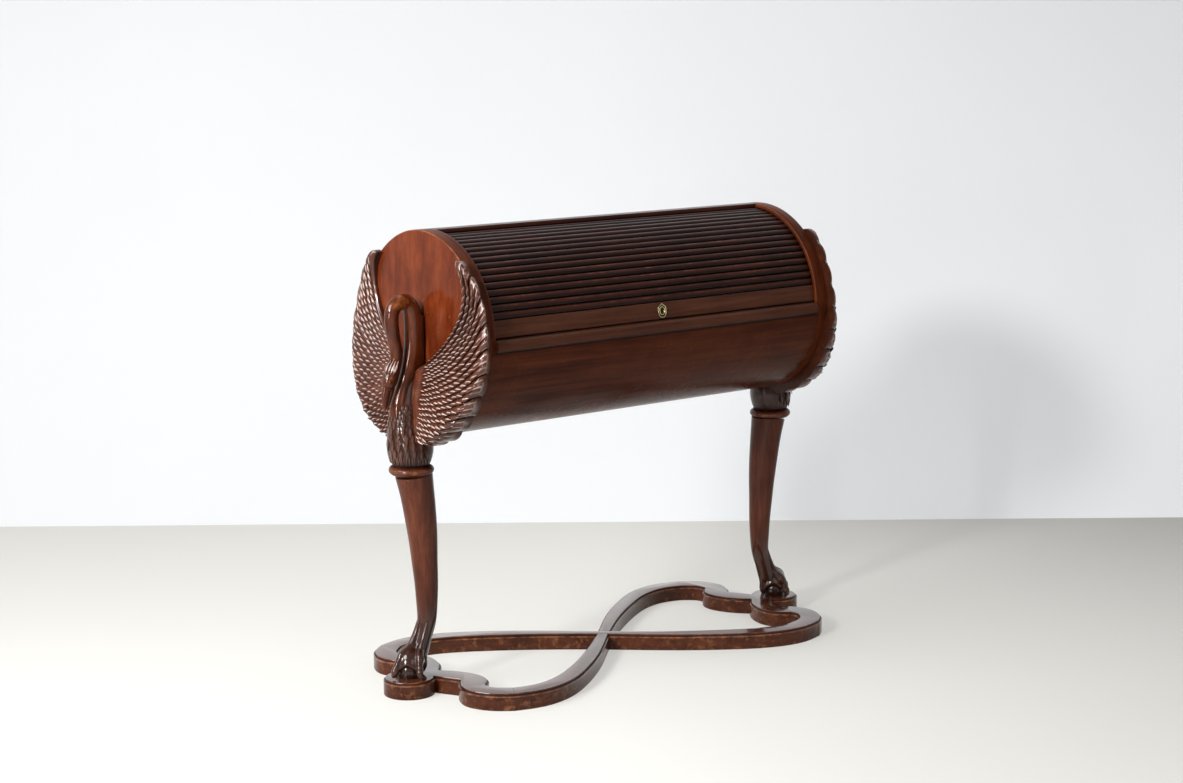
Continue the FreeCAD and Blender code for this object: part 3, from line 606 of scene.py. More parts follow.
# Tambour slats, with a painted highlight on the upper side of the crest and painted shade below it and
# towards the gaps
slatCut = {"count": 18, "first": 12.1, "pitch": 4.61, "gap": 0.0007, "crown": 0.0062, "full": 2.3,
           "foot": 0.97, "half": 0.471, "even": 0.46, "stations": 24, "steps": 15,
           "wear": 0.5, "highlightAt": (0.42, 0.22), "dirt": 0.95, "dirtAt": (0.12, -0.5), "gapShadeFull": 0.8}
pitch = math.radians(slatCut["pitch"])
wide = (pitch * (drum["tambour"] - slatCut["crown"]) - slatCut["gap"]) / 2
foot = wide * slatCut["foot"]
s = np.linspace(-1, 1, slatCut["steps"])
crown = np.sqrt(np.clip(1 - np.abs(s) ** slatCut["full"], 0, 1))
outline = [(-foot, drum["slatBack"])]
outline += list(zip(wide * s, drum["tambour"] - slatCut["crown"] * (1 - crown)))
outline += [(foot, drum["slatBack"])]
t, deep = np.array(outline).T
even = np.linspace(-slatCut["even"], slatCut["even"], slatCut["stations"])
stations = np.concatenate(([-slatCut["half"]], even, [slatCut["half"]]))
rings = np.array([np.stack((np.full(len(t), x), -deep, t), -1) for x in stations])
# painted highlight along the crown's upper side; painted shade on the lower flank, towards the gaps and on
# the hidden feet
crestHighlight = np.concatenate(([0], hump(s, *slatCut["highlightAt"]) * slatCut["wear"], [0]))
lowerFlankShade = slatCut["dirt"] * ease(*slatCut["dirtAt"], s)
slatShade = np.concatenate(([1], np.maximum(1 - crown ** slatCut["gapShadeFull"], lowerFlankShade), [1]))
slat = addMesh("slat", *skin(rings), {
    "wear": np.tile(crestHighlight, len(stations)), "dirt": np.tile(slatShade, len(stations))})
tambour = addMesh("tambourSlats", [], [])
runTree(tambour, slatTree, {
    "Slat": slat, "Count": slatCut["count"], "Pitch": pitch, "Axis Height": drum["height"],
    "First Turn": math.radians(slatCut["first"] + slatCut["pitch"] / 2), "Finish": finishes["tambour"]})
drop(slat)
dress(tambour, "tambour", ["tambour_slats"], "tambour", 40)


# Lock rail with its keyhole, and the escutcheon on it
railCut = {"turn": math.radians(6.85), "half": 0.471, "even": 0.3, "tall": 0.01847, "face": 0.2105,
           "back": 0.1982, "edge": 0.0022, "steps": 5,
           "wear": [0.1, 0.2, 0.5, 0.55, 0.4, 0.1, 0.1, 0.35, 0.4, 0.3, 0.1, 0]}
keyCut = {"eye": 0.0026, "eyeUp": 0.0025, "slot": 0.0014, "slotDown": -0.006, "steps": 21, "past": 0.004}
plateCut = {
    "outline": [(0, -0.0165), (0.0045, -0.0156), (0.0085, -0.0128), (0.0108, -0.0085), (0.0118, -0.0030),
                (0.0119, 0.0030), (0.0112, 0.0078), (0.0088, 0.0106), (0.0064, 0.0120), (0.0040, 0.0138),
                (0.0018, 0.0154), (0, 0.0165)],
    "points": 30,
    "steps": [(1.0, -0.0008), (1.0, 0.0008), (0.965, 0.0017), (0.90, 0.0020), (0.84, 0.0016), (0.80, 0.0005),
              (0.66, 0.0005), (0.63, 0.0015), (0.57, 0.0020), (0.51, 0.0020), (0.46, 0.0013), (0.43, 0.0004),
              (0.2, 0.0004)],
    "wear": 0.9, "wearLift": (0.0009, 0.0019), "cleanLift": (0.0005, 0.0013),
}


def keyholeCutter(near, far):
    eye, up, slot, down = keyCut["eye"], keyCut["eyeUp"], keyCut["slot"], keyCut["slotDown"]
    half = math.pi - math.asin(slot / eye)
    bow = [(eye * math.sin(a), up + eye * math.cos(a)) for a in np.linspace(-half, half, keyCut["steps"])]
    loop = np.array(bow + [(slot, down), (-slot, down)])
    rings = np.array([railPoint(loop[:, 0], loop[:, 1], q, railCut["turn"]) for q in (near, far)])
    return outward(addMesh("keyholeCutter", *skin(rings)))


e, tall, face = railCut["edge"], railCut["tall"], railCut["face"]
quarter = np.linspace(0, math.pi / 2, railCut["steps"])
outline = [(-tall, railCut["back"])]
outline += [(-tall + e * (1 - math.cos(q)), face - e * (1 - math.sin(q))) for q in quarter]
outline += [(tall - e * (1 - math.sin(q)), face - e * (1 - math.cos(q))) for q in quarter]
outline += [(tall, railCut["back"])]
t, deep = np.array(outline).T
stations = (-railCut["half"], -railCut["even"], railCut["even"], railCut["half"])
rings = np.array([railPoint(x, t, deep, railCut["turn"]) for x in stations])
rail = outward(addMesh("lockRail", *skin(rings), {"wear": np.tile(railCut["wear"], len(stations))}))
cutter = keyholeCutter(railCut["back"] - keyCut["past"], face + keyCut["past"])
carve(rail, cutter)
dress(rail, "rail", ["lock_rail"], "tambour", 30)

half = smoothLine(plateCut["outline"], plateCut["points"])
loop = np.concatenate((half, half[-2:0:-1] * (-1, 1)))
rings = np.array([railPoint(loop[:, 0] * k, loop[:, 1] * k, face + lift, railCut["turn"])
                  for k, lift in plateCut["steps"]])
lifts = np.array(plateCut["steps"])[:, 1]
plate = outward(addMesh("escutcheon.plate", *skin(rings), {
    "wear": np.repeat(ease(*plateCut["wearLift"], lifts) * plateCut["wear"], len(loop)),
    "dirt": np.repeat(1 - ease(*plateCut["cleanLift"], lifts), len(loop))}))
carve(plate, cutter)
drop(cutter)
dress(plate, "brass", ["escutcheon"], "tambour", 40)


# Nosing of the writing slide: a full bead with eased ends, cut out for the strike plate and the bolt
nosingCut = {
    "top": 0.0095, "under": 0.0085, "steps": 8, "thick": 0.0134, "endWear": 0.6, "endFrom": 0.4595,
    "ends": [(0, 0.0022), (0.0006, 0.0009), (0.0022, 0)], "even": (-0.452, -0.3, 0, 0.3, 0.452),
    "wear": [0, 0, 0.05, 0.15, 0.25, 0.3, 0.25, 0.2, 0.15, 0.15] + [0.1] * 4 + [0.05] * 4,
    "dirt": [0.8, 0.8, 1, 0.8, 0.3] + [0] * 6 + [0.2, 0.5, 0.8, 1, 1, 1, 1],
}
boltCut = {"half": 0.0074, "down": -0.0095, "up": 0.002, "deep": (0.1926, 0.1984), "past": 0.004}
nosingLow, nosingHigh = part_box("slide_nosing")
y0, y1, z0, z1 = nosingLow.y, nosingHigh.y, nosingLow.z, nosingHigh.z
quarter = np.linspace(0, math.pi / 2, nosingCut["steps"])
outline = [(y1, z0), (y1, z1)]
e = nosingCut["top"]
outline += [(y0 + e * (1 - math.sin(q)), z1 - e * (1 - math.cos(q))) for q in quarter]
e = nosingCut["under"]
outline += [(y0 + e * (1 - math.cos(q)), z0 + e * (1 - math.sin(q))) for q in quarter]
loop = np.array(outline)
middle = loop.mean(0)
stations = [(nosingLow.x + x, gap) for x, gap in nosingCut["ends"]]
stations += [(x, 0) for x in nosingCut["even"]]
stations += [(nosingHigh.x - x, gap) for x, gap in reversed(nosingCut["ends"])]
rings = []
endWear = []
for x, gap in stations:
    ring = middle + (loop - middle) * (1 - gap / nosingCut["thick"])
    ring[:2, 0] = y1
    rings.append(np.column_stack((np.full(len(ring), x), ring)))
    endWear.append(nosingCut["endWear"] if abs(x) > nosingCut["endFrom"] else 0)
# dark along its top where it meets the rail, and painted shadow along its underside; the worn ends stay clean
marks = {"wear": np.maximum.outer(endWear, nosingCut["wear"]).ravel(),
         "dirt": np.outer(np.array(endWear) == 0, nosingCut["dirt"]).ravel()}
nosing = outward(addMesh("slideNosing", *skin(np.array(rings)), marks))
plateLow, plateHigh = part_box("strike_plate")
over = z1 + boltCut["past"]
recess = [[(x, y, z) for y, z in ((plateLow.y, plateLow.z), (plateHigh.y, plateLow.z),
                                  (plateHigh.y, over), (plateLow.y, over))]
          for x in (plateLow.x, plateHigh.x)]
near, far = boltCut["deep"]
deep = np.array((near, near, far, far))
up = -tall + np.array((boltCut["down"], boltCut["up"], boltCut["up"], boltCut["down"]))
mortise = [railPoint(x, up, deep, railCut["turn"]) for x in (-boltCut["half"], boltCut["half"])]
for rings in (recess, mortise):
    cutter = outward(addMesh("boltCutter", *skin(np.array(rings))))
    carve(nosing, cutter)
    drop(cutter)
dress(nosing, "rail", ["slide_nosing"], "writing_slide", 30)
print("tambour, lock rail, escutcheon, nosing")


# One carved leaf: base at 0, tip at 1 along y, closed underneath
# Lighter on one side of its crown as a painted highlight, darker on the other side, along its edges and at
# its base as painted shade
leafCut = {"columns": 7, "rows": 8, "wideFrom": 0.06, "wideTo": 0.93, "round": 0.8, "least": 0.03,
           "crown": 0.85, "neck": (0.4, 0.4), "tip": (0.55, 0.85), "sunk": 0.1, "foot": -0.6,
           "sheenAt": (-0.25, 0.42), "rubAndSheenFrom": (0.1, 0.5, 0.45), "shadeFrom": 0.3, "baseShade": 0.6}


def leafShape():
    cut = leafCut
    columns, rows = cut["columns"], cut["rows"]
    neckEnd, neckHigh = cut["neck"]
    tipFrom, tipFall = cut["tip"]
    rubAndSheenFrom, sheenTo, sheenLeast = cut["rubAndSheenFrom"]
    verts = []
    wear = []
    grimeAndShade = []
    for i in range(rows):
        v = i / (rows - 1)
        bulge = math.sin(math.pi * (cut["wideFrom"] + cut["wideTo"] * v ** cut["round"]))
        half = 0.5 * max(bulge, cut["least"]) ** cut["round"]
        swell = neckHigh + (1 - neckHigh) * ease(0, neckEnd, v)
        taper = 1 - tipFall * ease(tipFrom, 1.0, v)
        rubAndSheen = sheenLeast + (1 - sheenLeast) * ease(rubAndSheenFrom, sheenTo, v)
        for j in range(columns):
            u = 2 * j / (columns - 1) - 1
            rise = (1 - u * u) ** cut["crown"] * swell * taper
            verts.append((u * half, v, rise - cut["sunk"]))
            # the painted highlight on one flank, and painted shade on the other flank, the edges and the base
            wear.append(hump(u, *cut["sheenAt"]) * rubAndSheen)
            grimeAndShade.append(max(ease(cut["shadeFrom"], 1.0, u), abs(u) ** 6, cut["baseShade"] * (1 - v) ** 3))
    faces, rim = gridFaces(rows, columns)
    base, n = len(verts), len(rim)
    verts += [(verts[k][0], verts[k][1], cut["foot"]) for k in rim]
    faces += [(rim[k], base + k, base + (k + 1) % n, rim[(k + 1) % n]) for k in range(n)]
    faces.append(tuple(base + k for k in range(n)))
    return outward(addMesh("leaf", verts, faces, {"wear": wear + [0] * n, "dirt": grimeAndShade + [1] * n}))


def plant(piece, spots, finish):     # leaves set on a piece; spots are (place, forward, normal, size)
    turns = []
    for place, forward, normal, size in spots:
        z = unit(normal)
        y = unit(forward - np.dot(forward, z) * z)
        x = np.cross(y, z)
        turns.append(tuple(Matrix((x, y, z)).transposed().to_euler()))
    places = addMesh("places", [spot[0] for spot in spots], [], {
        "turn": np.array(turns), "size": np.array([spot[3] for spot in spots])})
    runTree(piece, featherTree, {"Places": places, "Shape": leaf, "Finish": finishes[finish]})
    drop(places)


leaf = leafShape()

# Wings: a fan of overlapping flight feathers from the breast to a scalloped edge
# Drawn on the end panel's face as (out from the middle line, up from the drum's axis)
wingCut = {
    "strips": 20, "along": 60, "alongPull": 1.35,
    "across": (0, 0.03, 0.07, 0.14, 0.26, 0.42, 0.57, 0.63, 0.68, 0.74, 0.86, 0.95),
    "outer": [(0.046, -0.229), (0.104, -0.213), (0.155, -0.181), (0.193, -0.141), (0.216, -0.101),
              (0.231, -0.064), (0.2365, -0.028), (0.235, 0.024), (0.2225, 0.075), (0.197, 0.123),
              (0.174, 0.147), (0.154, 0.161), (0.139, 0.164)],
    "root": [(0.018, -0.216), (0.014, -0.190), (0.012, -0.155), (0.013, -0.110), (0.022, -0.068)],
    "startTurn": (-34, -4, 10, 20, 26), "endTurn": (-20, 18, 42, 72, 130), "pull": 0.38,
    "ground": [(-0.260, 0.056), (-0.220, 0.057), (-0.180, 0.054), (-0.120, 0.043), (-0.060, 0.030),
               (0.0, 0.021), (0.060, 0.014), (0.100, 0.014), (0.140, 0.021), (0.180, 0.034)],
    "sunk": 0.0050, "swell": 0.006, "swellOut": (0.030, 0.013), "swellUp": (-0.165, -0.12), "leastOut": 0.001,
    # the scalloped edge, and how far in and how low each edge is rolled off
    "lobes": 10, "scallop": 0.010, "scallopPull": 9, "notch": 0.003, "lobeCut": 0.0045, "lobeReach": 0.03,
    "fadeIn": 0.012, "edgeRoll": (0.024, 0.52), "topRoll": (0.012, 0.55), "lowRoll": (0.010, 0.6),
    "brow": 0.1,                     # a first step down the wall to the panel
    # a strip steps up at its lower side, falls off across and has a quill along it
    "shoulder": 0.046, "shoulderEase": (0.008, 0.004), "lift": 0.21, "leastLift": 0.0004, "mostLift": 0.0042,
    "sawRise": 0.09, "sawFall": 0.75, "sawDown": 0.2, "quill": 0.4, "quillAt": (0.66, 0.05),
}
# wear on ridges, quills, tips and edges; painted shade in the grooves, in the gaps and on the wall
wingWearAndShade = {
    "ridge": 0.6, "ridgeAt": (0.12, 0.06), "quill": 0.5, "quillAt": (0.66, 0.04), "strips": 0.8,
    "ease": 0.006, "tips": 0.35, "tipsAt": (0.93, 0.98), "grooveAt": ((0.0, 0.06), (0.9, 1.0)),
    "gapAt": (0.86, 0.97), "edge": (0.25, 0.4), "foot": 0.2, "edgeShade": 0.15, "footShade": 0.6,
}
wingOuter, wingRoot, wingGround = [smoothLine(wingCut[key], count)
                                   for key, count in (("outer", 300), ("root", 80), ("ground", 120))]


def lobeRound(q):                    # 1 along the middle of a feather's tip, 0 between two
    return np.sqrt(np.clip(1 - (2 * (q * wingCut["lobes"] % 1.0) - 1) ** 2, 0, 1))


def wingFlat(q, t):                  # q across the strips from the bottom, t along them from the root
    def pick(line):
        at = np.linspace(0, 1, len(line))
        return np.stack([np.interp(q, at, line[:, k]) for k in (0, 1)], -1)
    start, end = pick(wingRoot), pick(wingOuter)
    knots = np.linspace(0, 1, len(wingCut["startTurn"]))
    a = np.radians(np.interp(q, knots, wingCut["startTurn"]))
    b = np.radians(np.interp(q, knots, wingCut["endTurn"]))
    reach = np.linalg.norm(end - start, axis=-1, keepdims=True) * wingCut["pull"]
    first = start + reach * np.stack((np.cos(a), np.sin(a)), -1)
    second = end - reach * np.stack((np.cos(b), np.sin(b)), -1)
    s = t[..., None]
    flat = (1 - s) ** 3 * start + 3 * (1 - s) ** 2 * s * first + 3 * (1 - s) * s * s * second + s ** 3 * end
    heading = unit(pick(np.gradient(wingOuter, axis=0)))
    bow = (wingCut["scallop"] * lobeRound(q) - wingCut["notch"]) * t ** wingCut["scallopPull"]
    flat = flat + bow[..., None] * np.stack((heading[..., 1], -heading[..., 0]), -1)
    return flat, reach[..., 0] / wingCut["pull"]


def roll(gap, reach, low):           # rounds an edge off
    return low + (1 - low) * np.sqrt(1 - (1 - np.clip(gap / reach, 0, 1)) ** 2)


def wingSurface(q, t):               # world points of the carved ground, and the local strip width
    cut = wingCut
    flat, length = wingFlat(q, t)
    aside, up = flat[..., 0], flat[..., 1]
    step = 0.004
    ahead, _ = wingFlat(np.clip(q + step, 0, 1), t)
    behind, _ = wingFlat(np.clip(q - step, 0, 1), t)
    wide = np.linalg.norm(ahead - behind, axis=-1) / (2 * step * cut["strips"])
    share = q * cut["strips"] % 1.0
    saw = ease(0, cut["sawRise"], share) * (1 - cut["sawFall"] * share)
    saw = saw + cut["quill"] * hump(share, *cut["quillAt"]) - cut["sawDown"]
    before, after = cut["shoulderEase"]
    lift = np.clip(cut["lift"] * wide, cut["leastLift"], cut["mostLift"])
    lift = lift * ease(cut["shoulder"] - before, cut["shoulder"] + after, aside)
    body = np.interp(up, wingGround[:, 0], wingGround[:, 1]) - cut["sunk"]
    body = body + cut["swell"] * hump(aside, *cut["swellOut"]) * ease(*cut["swellUp"], up)
    gap = (1 - t) * length
    body = body * roll(gap, *cut["edgeRoll"])
    body = body * roll((1 - q) * cut["strips"] * wide, *cut["topRoll"])
    body = body * roll(q * cut["strips"] * wide, *cut["lowRoll"])
    notch = cut["lobeCut"] * (1 - lobeRound(q)) * ease(cut["lobeReach"], 0, gap)
    out = np.maximum(body + saw * lift * ease(0, cut["fadeIn"], gap) - notch, cut["leastOut"])
    return np.stack((-drum["faceX"] - out, -aside, drum["height"] + up), -1), wide


strips = wingCut["strips"]
qRow = np.array([(i + f) / strips for i in range(strips) for f in wingCut["across"]] + [1.0])
share = qRow * strips % 1.0
share[-1] = 1.0
qRow[-1] = 0.9999                    # the last row still belongs to the last strip
tRow = 1 - (1 - np.linspace(0, 1, wingCut["along"])) ** wingCut["alongPull"]
q, t = np.meshgrid(qRow, tRow, indexing="ij")
grid, _ = wingSurface(q, t)
verts = grid.reshape(-1, 3)
faces, rim = gridFaces(*q.shape)
foot = verts[rim].copy()
foot[:, 0] = -drum["faceX"]
brow = verts[rim] * (1 - wingCut["brow"]) + foot * wingCut["brow"]
count, n = len(verts), len(rim)
verts = np.concatenate((verts, brow, foot))
for k in range(n):                   # the wall down to the panel
    m = (k + 1) % n
    faces.append((rim[k], rim[m], count + m, count + k))
    faces.append((count + k, count + m, count + n + m, count + n + k))
faces.append(tuple(count + n + k for k in range(n)))
ridge = sum(hump(share, *wingWearAndShade[key + "At"]) * wingWearAndShade[key] for key in ("ridge", "quill"))
# painted shade in the groove between strips and in the gaps between the feather tips
low, high = wingWearAndShade["grooveAt"]
groove = np.clip(1 - ease(*low, share), 0, 1) + ease(*high, share)
bare = wingCut["shoulder"]
carvedPart = ease(bare - wingWearAndShade["ease"], bare + wingWearAndShade["ease"], -grid[..., 1])
wear = ridge[:, None] * wingWearAndShade["strips"] * carvedPart + ease(*wingWearAndShade["tipsAt"], t) * wingWearAndShade["tips"]
gaps = ((1 - lobeRound(qRow)) ** 2)[:, None] * ease(*wingWearAndShade["gapAt"], t)
grimeAndShade = np.clip(groove[:, None] * carvedPart + gaps, 0, 1)
least, most = wingWearAndShade["edge"]
edgeWear = least + most * lobeRound(q.ravel()[rim]) ** 2
# painted shade on the wall down to the panel, most at its foot
edgeShade, footShade = np.full(n, wingWearAndShade["edgeShade"]), np.full(n, wingWearAndShade["footShade"])
marks = {"wear": np.concatenate((np.clip(wear, 0, 1).ravel(), edgeWear, np.full(n, wingWearAndShade["foot"]))),
         "dirt": np.concatenate((grimeAndShade.ravel(), edgeShade, footShade))}
wing = outward(addMesh("wingFrontLeft", verts, faces, marks))

# Barbs along each strip: carved chips, a little uneven, the last one flatter and straighter
chipCut = {"long": 1.4, "shortest": 0.016, "longest": 0.0235, "step": 0.82, "bare": 0.012, "wide": 0.46,
           "rise": 0.20, "turn": -15, "sway": 8, "sizes": (0.9, 1.1), "across": 0.46, "probe": 0.1,
           "span": (0.02, 0.985, 320), "stagger": 0.005, "lastReach": 0.02, "lastTurn": 0.35, "lastRise": 0.4}


def chipLong(at, walked, wide):      # follows the strip's width there
    long = chipCut["long"] * np.interp(at, walked, wide)
    return float(np.clip(long, chipCut["shortest"], chipCut["longest"]))


spots = []
for i in range(strips):
    s = np.linspace(*chipCut["span"])
    q = np.full(len(s), (i + chipCut["across"]) / strips)
    line, wide = wingSurface(q, s)
    beside, _ = wingSurface(q + chipCut["probe"] / strips, s)
    walked = np.concatenate(([0], np.cumsum(np.linalg.norm(np.diff(line, axis=0), axis=1))))
    first = walked[np.argmax(-line[:, 1] > wingCut["shoulder"])] + chipCut["stagger"] * (i % 2)
    starts = [first]
    while starts[-1] + chipLong(starts[-1], walked, wide) < walked[-1]:
        starts.append(starts[-1] + chipLong(starts[-1], walked, wide) * chipCut["step"])
    if len(starts) < 2:
        continue
    room = walked[-1] - chipCut["bare"] - chipLong(walked[-1], walked, wide) - first
    starts = first + (np.array(starts) - first) * room / (starts[-1] - first)
    for at in starts:
        long = chipLong(at, walked, wide)
        k = int(np.searchsorted(walked, at))
        tip = min(int(np.searchsorted(walked, at + long)), len(s) - 1)
        forward = unit(line[tip] - line[k])              # along the chord, so the tip stays on the ground
        across = beside[k] - line[k]
        normal = np.cross(across, forward)
        normal = unit(normal * (-1 if normal[0] > 0 else 1))
        side = np.cross(normal, forward)
        side = side * (-1 if np.dot(side, across) < 0 else 1)
        left = walked[-1] - chipCut["bare"] - at - long
        inner = float(ease(0, chipCut["lastReach"], left))       # 0 for the last chip of a strip
        a = math.radians(chipCut["turn"] + chance.uniform(-chipCut["sway"], chipCut["sway"]))
        a = a * (chipCut["lastTurn"] + (1 - chipCut["lastTurn"]) * inner)
        aim = math.cos(a) * forward + math.sin(a) * side
        rise = chipCut["rise"] * (chipCut["lastRise"] + (1 - chipCut["lastRise"]) * inner)
        size = long * chance.uniform(*chipCut["sizes"])
        spots.append((line[k], aim, normal, (size * chipCut["wide"], long, size * rise)))
plant(wing, spots, "carved")
print("wing:", len(spots), "barbs,", len(wing.data.polygons), "faces")
backWing = mirrorPiece(wing, "wingBackLeft", (1, -1))
wings = {"wing_front_left": wing, "wing_back_left": backWing,
         "wing_front_right": mirrorPiece(wing, "wingFrontRight", (-1, 1)),
         "wing_back_right": mirrorPiece(backWing, "wingBackRight", (-1, 1))}
for node, piece in wings.items():
    dress(piece, "carved", [node], angle=50)


# Swan: a swept neck and head with brow, crest, eyes and a two-part beak
def sweep(path, side, deep, sides, across=(0, 1, 0)):    # side along "across", deep square to it
    path = np.asarray(path, float)
    ahead = unit(np.gradient(path, axis=0))
    beside = np.broadcast_to(np.array(across, float), path.shape)
    beside = unit(beside - np.sum(beside * ahead, -1, keepdims=True) * ahead)
    over = np.cross(ahead, beside)
    a = circle(sides)
    return (path[:, None] + np.cos(a)[None, :, None] * (beside * np.reshape(side, (-1, 1)))[:, None]
            + np.sin(a)[None, :, None] * (over * np.reshape(deep, (-1, 1)))[:, None])


def swanPoint(out, up, y=0.0):       # out from the end panel's face, up from the drum's axis
    x, z = -drum["faceX"] - np.asarray(out), drum["height"] + np.asarray(up)
    return np.stack(np.broadcast_arrays(x, y, z), -1)


# rows are (out, up, radius)
neckCut = {
    "rows": [(0.058, -0.166, 0.0240), (0.059, -0.152, 0.0212), (0.056, -0.136, 0.0188),
             (0.050, -0.116, 0.0166), (0.0425, -0.097, 0.0162), (0.034, -0.075, 0.0174),
             (0.0265, -0.050, 0.0190), (0.0215, -0.022, 0.0200), (0.0200, 0.008, 0.0201),
             (0.0210, 0.034, 0.0195), (0.026, 0.0555, 0.0186), (0.036, 0.0680, 0.0177),
             (0.049, 0.0713, 0.0170), (0.0625, 0.0672, 0.0162), (0.0725, 0.0540, 0.0155),
             (0.0755, 0.032, 0.0150), (0.0722, 0.005, 0.0145), (0.0680, -0.018, 0.0140),
             (0.0650, -0.036, 0.0139), (0.0665, -0.052, 0.0136), (0.0710, -0.066, 0.0142),
             (0.0768, -0.079, 0.0157), (0.0820, -0.090, 0.0165), (0.0855, -0.0985, 0.0155),
             (0.0875, -0.1055, 0.0125), (0.0884, -0.1095, 0.0085)],
    "rings": 150, "sides": 40, "flat": 0.97, "deep": 1.02, "wear": [(0.585, 0.06, 0.5), (0.95, 0.02, 0.3)],
    "padFull": 3.2, "padWide": 0.98, "padOut": 0.0002, "padEase": (0.040, 0.027), "padRun": 0.46,
}
beakCut = {
    "top": [(0.0878, -0.104, 0.0122), (0.0915, -0.116, 0.0108), (0.0945, -0.129, 0.0094),
            (0.0965, -0.141, 0.0074), (0.0977, -0.150, 0.0047), (0.0978, -0.157, 0.0016)],
    "low": [(0.0800, -0.106, 0.0086), (0.0832, -0.118, 0.0080), (0.0866, -0.131, 0.0066),
            (0.0893, -0.142, 0.0046), (0.0910, -0.150, 0.0020)],
    "topFlat": 0.72, "lowFlat": 0.95, "rings": 26, "sides": 28, "wear": (0.05, 0.5),
    "rolls": [(0.0872, -0.1035, 0.0136), (0.0886, -0.1095, 0.0126)],
    "rollThick": 0.0016, "rollFlat": 0.86, "rollLean": 26, "rollSides": (8, 40), "rollWear": 0.3,
}
eyeCut = {"place": (0.0905, -0.0925, 0.0136), "size": 0.0030, "lid": 1.8, "lidFlat": 0.5, "lidWear": 0.35,
          "rings": 10, "sides": 20, "pole": 0.05}
neck = smoothLine(neckCut["rows"], neckCut["rings"])
neckOut, neckWide = neck[:, 0][:, None], neck[:, 2][:, None]
rings = sweep(swanPoint(neck[:, 0], neck[:, 1]), neck[:, 2] * neckCut["flat"], neck[:, 2] * neckCut["deep"],
              neckCut["sides"])
run = np.linspace(0, 1, neckCut["rings"])
# the lower neck is carved in one with the panel: its back fills out to it
out = -drum["faceX"] - rings[..., 0]
sunk = np.clip((neckOut - out) / neckWide, 0, 1)
full = 2 / neckCut["padFull"]
padOut = neckOut * (1 - sunk ** full) + neckCut["padOut"]
padY = np.sign(rings[..., 1]) * neckWide * neckCut["padWide"] * np.sqrt(1 - sunk ** 2) ** full
share = (ease(*neckCut["padEase"], neck[:, 0]) * (run < neckCut["padRun"]))[:, None] * (sunk > 0.001)
rings[..., 0] = rings[..., 0] * (1 - share) + (-drum["faceX"] - padOut) * share
rings[..., 1] = rings[..., 1] * (1 - share) + padY * share
shells = [skin(rings)]
bendWear = sum(hump(run, at, wide) * most for at, wide, most in neckCut["wear"])
neckWear = [np.repeat(bendWear, neckCut["sides"])]

least, most = beakCut["wear"]
for key in ("top", "low"):
    line = smoothLine(beakCut[key], beakCut["rings"])
    path = swanPoint(line[:, 0], line[:, 1])
    shells.append(skin(sweep(path, line[:, 2] * beakCut[key + "Flat"], line[:, 2], beakCut["sides"])))
    neckWear.append(np.repeat(least + most * np.linspace(0, 1, beakCut["rings"]) ** 3, beakCut["sides"]))
lean = math.radians(beakCut["rollLean"])
ahead = np.array((-math.sin(lean), 0, -math.cos(lean)))
over = np.array((-math.cos(lean), 0, math.sin(lean)))
flat = np.array((0, beakCut["rollFlat"], 0))
thick = beakCut["rollThick"]
few, many = beakCut["rollSides"]
a = circle(many)
for out, up, size in beakCut["rolls"]:                   # two raised rolls where the beak starts
    mid = swanPoint(out, up)
    loop = mid + size * (np.cos(a)[:, None] * flat + np.sin(a)[:, None] * over)
    tube = [mid + (loop - mid) * (1 + thick / size * math.cos(b)) + ahead * thick * math.sin(b)
            for b in circle(few)]
    shells.append(skin(np.array(tube + tube[:1]), caps=False))
    neckWear.append(np.full((few + 1) * many, beakCut["rollWear"]))
lat = np.linspace(-math.pi / 2 + eyeCut["pole"], math.pi / 2 - eyeCut["pole"], eyeCut["rings"])
for side in (-1, 1):                                     # eyes: a ball in a raised lid
    out, up, aside = eyeCut["place"]
    mid = swanPoint(out, up, side * aside)
    for size, squash, rubAndSheen in ((eyeCut["size"], 1.0, 0.0),
                              (eyeCut["size"] * eyeCut["lid"], eyeCut["lidFlat"], eyeCut["lidWear"])):
        ball = [[(math.cos(b) * math.cos(c), math.sin(b) * squash * side, math.cos(b) * math.sin(c))
                 for c in circle(eyeCut["sides"])] for b in lat]
        shells.append(skin(np.array(ball) * size + mid))
        neckWear.append(np.full(eyeCut["rings"] * eyeCut["sides"], rubAndSheen))
swanNeck = outward(addMesh("swanNeckLeft", *joined(shells), {"wear": np.concatenate(neckWear)}))

# Crest: plumes from the brow back over the crown; places are (first, step from plume to plume)
crestCut = {"plumes": 4, "start": ((0.0975, -0.0042), (-0.085, 0.001), (0.0016, 0.0042)),
            "end": ((0.0785, -0.0030), (-0.047, -0.001), (0.0024, 0.0038)),
            "turn": (14, 24), "lean": (0.88, 0.4), "wide": 0.0108, "high": 0.0050}
spots = []
for side in (-1, 1):
    for k in range(crestCut["plumes"]):
        ends = []
        for key in ("start", "end"):
            out, up, aside = [first + step * k for first, step in crestCut[key]]
            ends.append(swanPoint(out, up, side * aside))
        plume = ends[1] - ends[0]
        a = math.radians(crestCut["turn"][0] + crestCut["turn"][1] * k)
        leanOut, leanUp = crestCut["lean"]
        normal = np.array((-math.cos(a) * leanOut, side * math.sin(a), math.cos(a) * leanUp))
        size = (crestCut["wide"], float(np.linalg.norm(plume)), crestCut["high"])
        spots.append((ends[0], plume, normal, size))
crest = addMesh("swanCrestLeft", [], [])
plant(crest, spots, "carved")
dressPair(swanNeck, "neck", "swan_neck", 50)
dressPair(crest, "carved", angle=50)


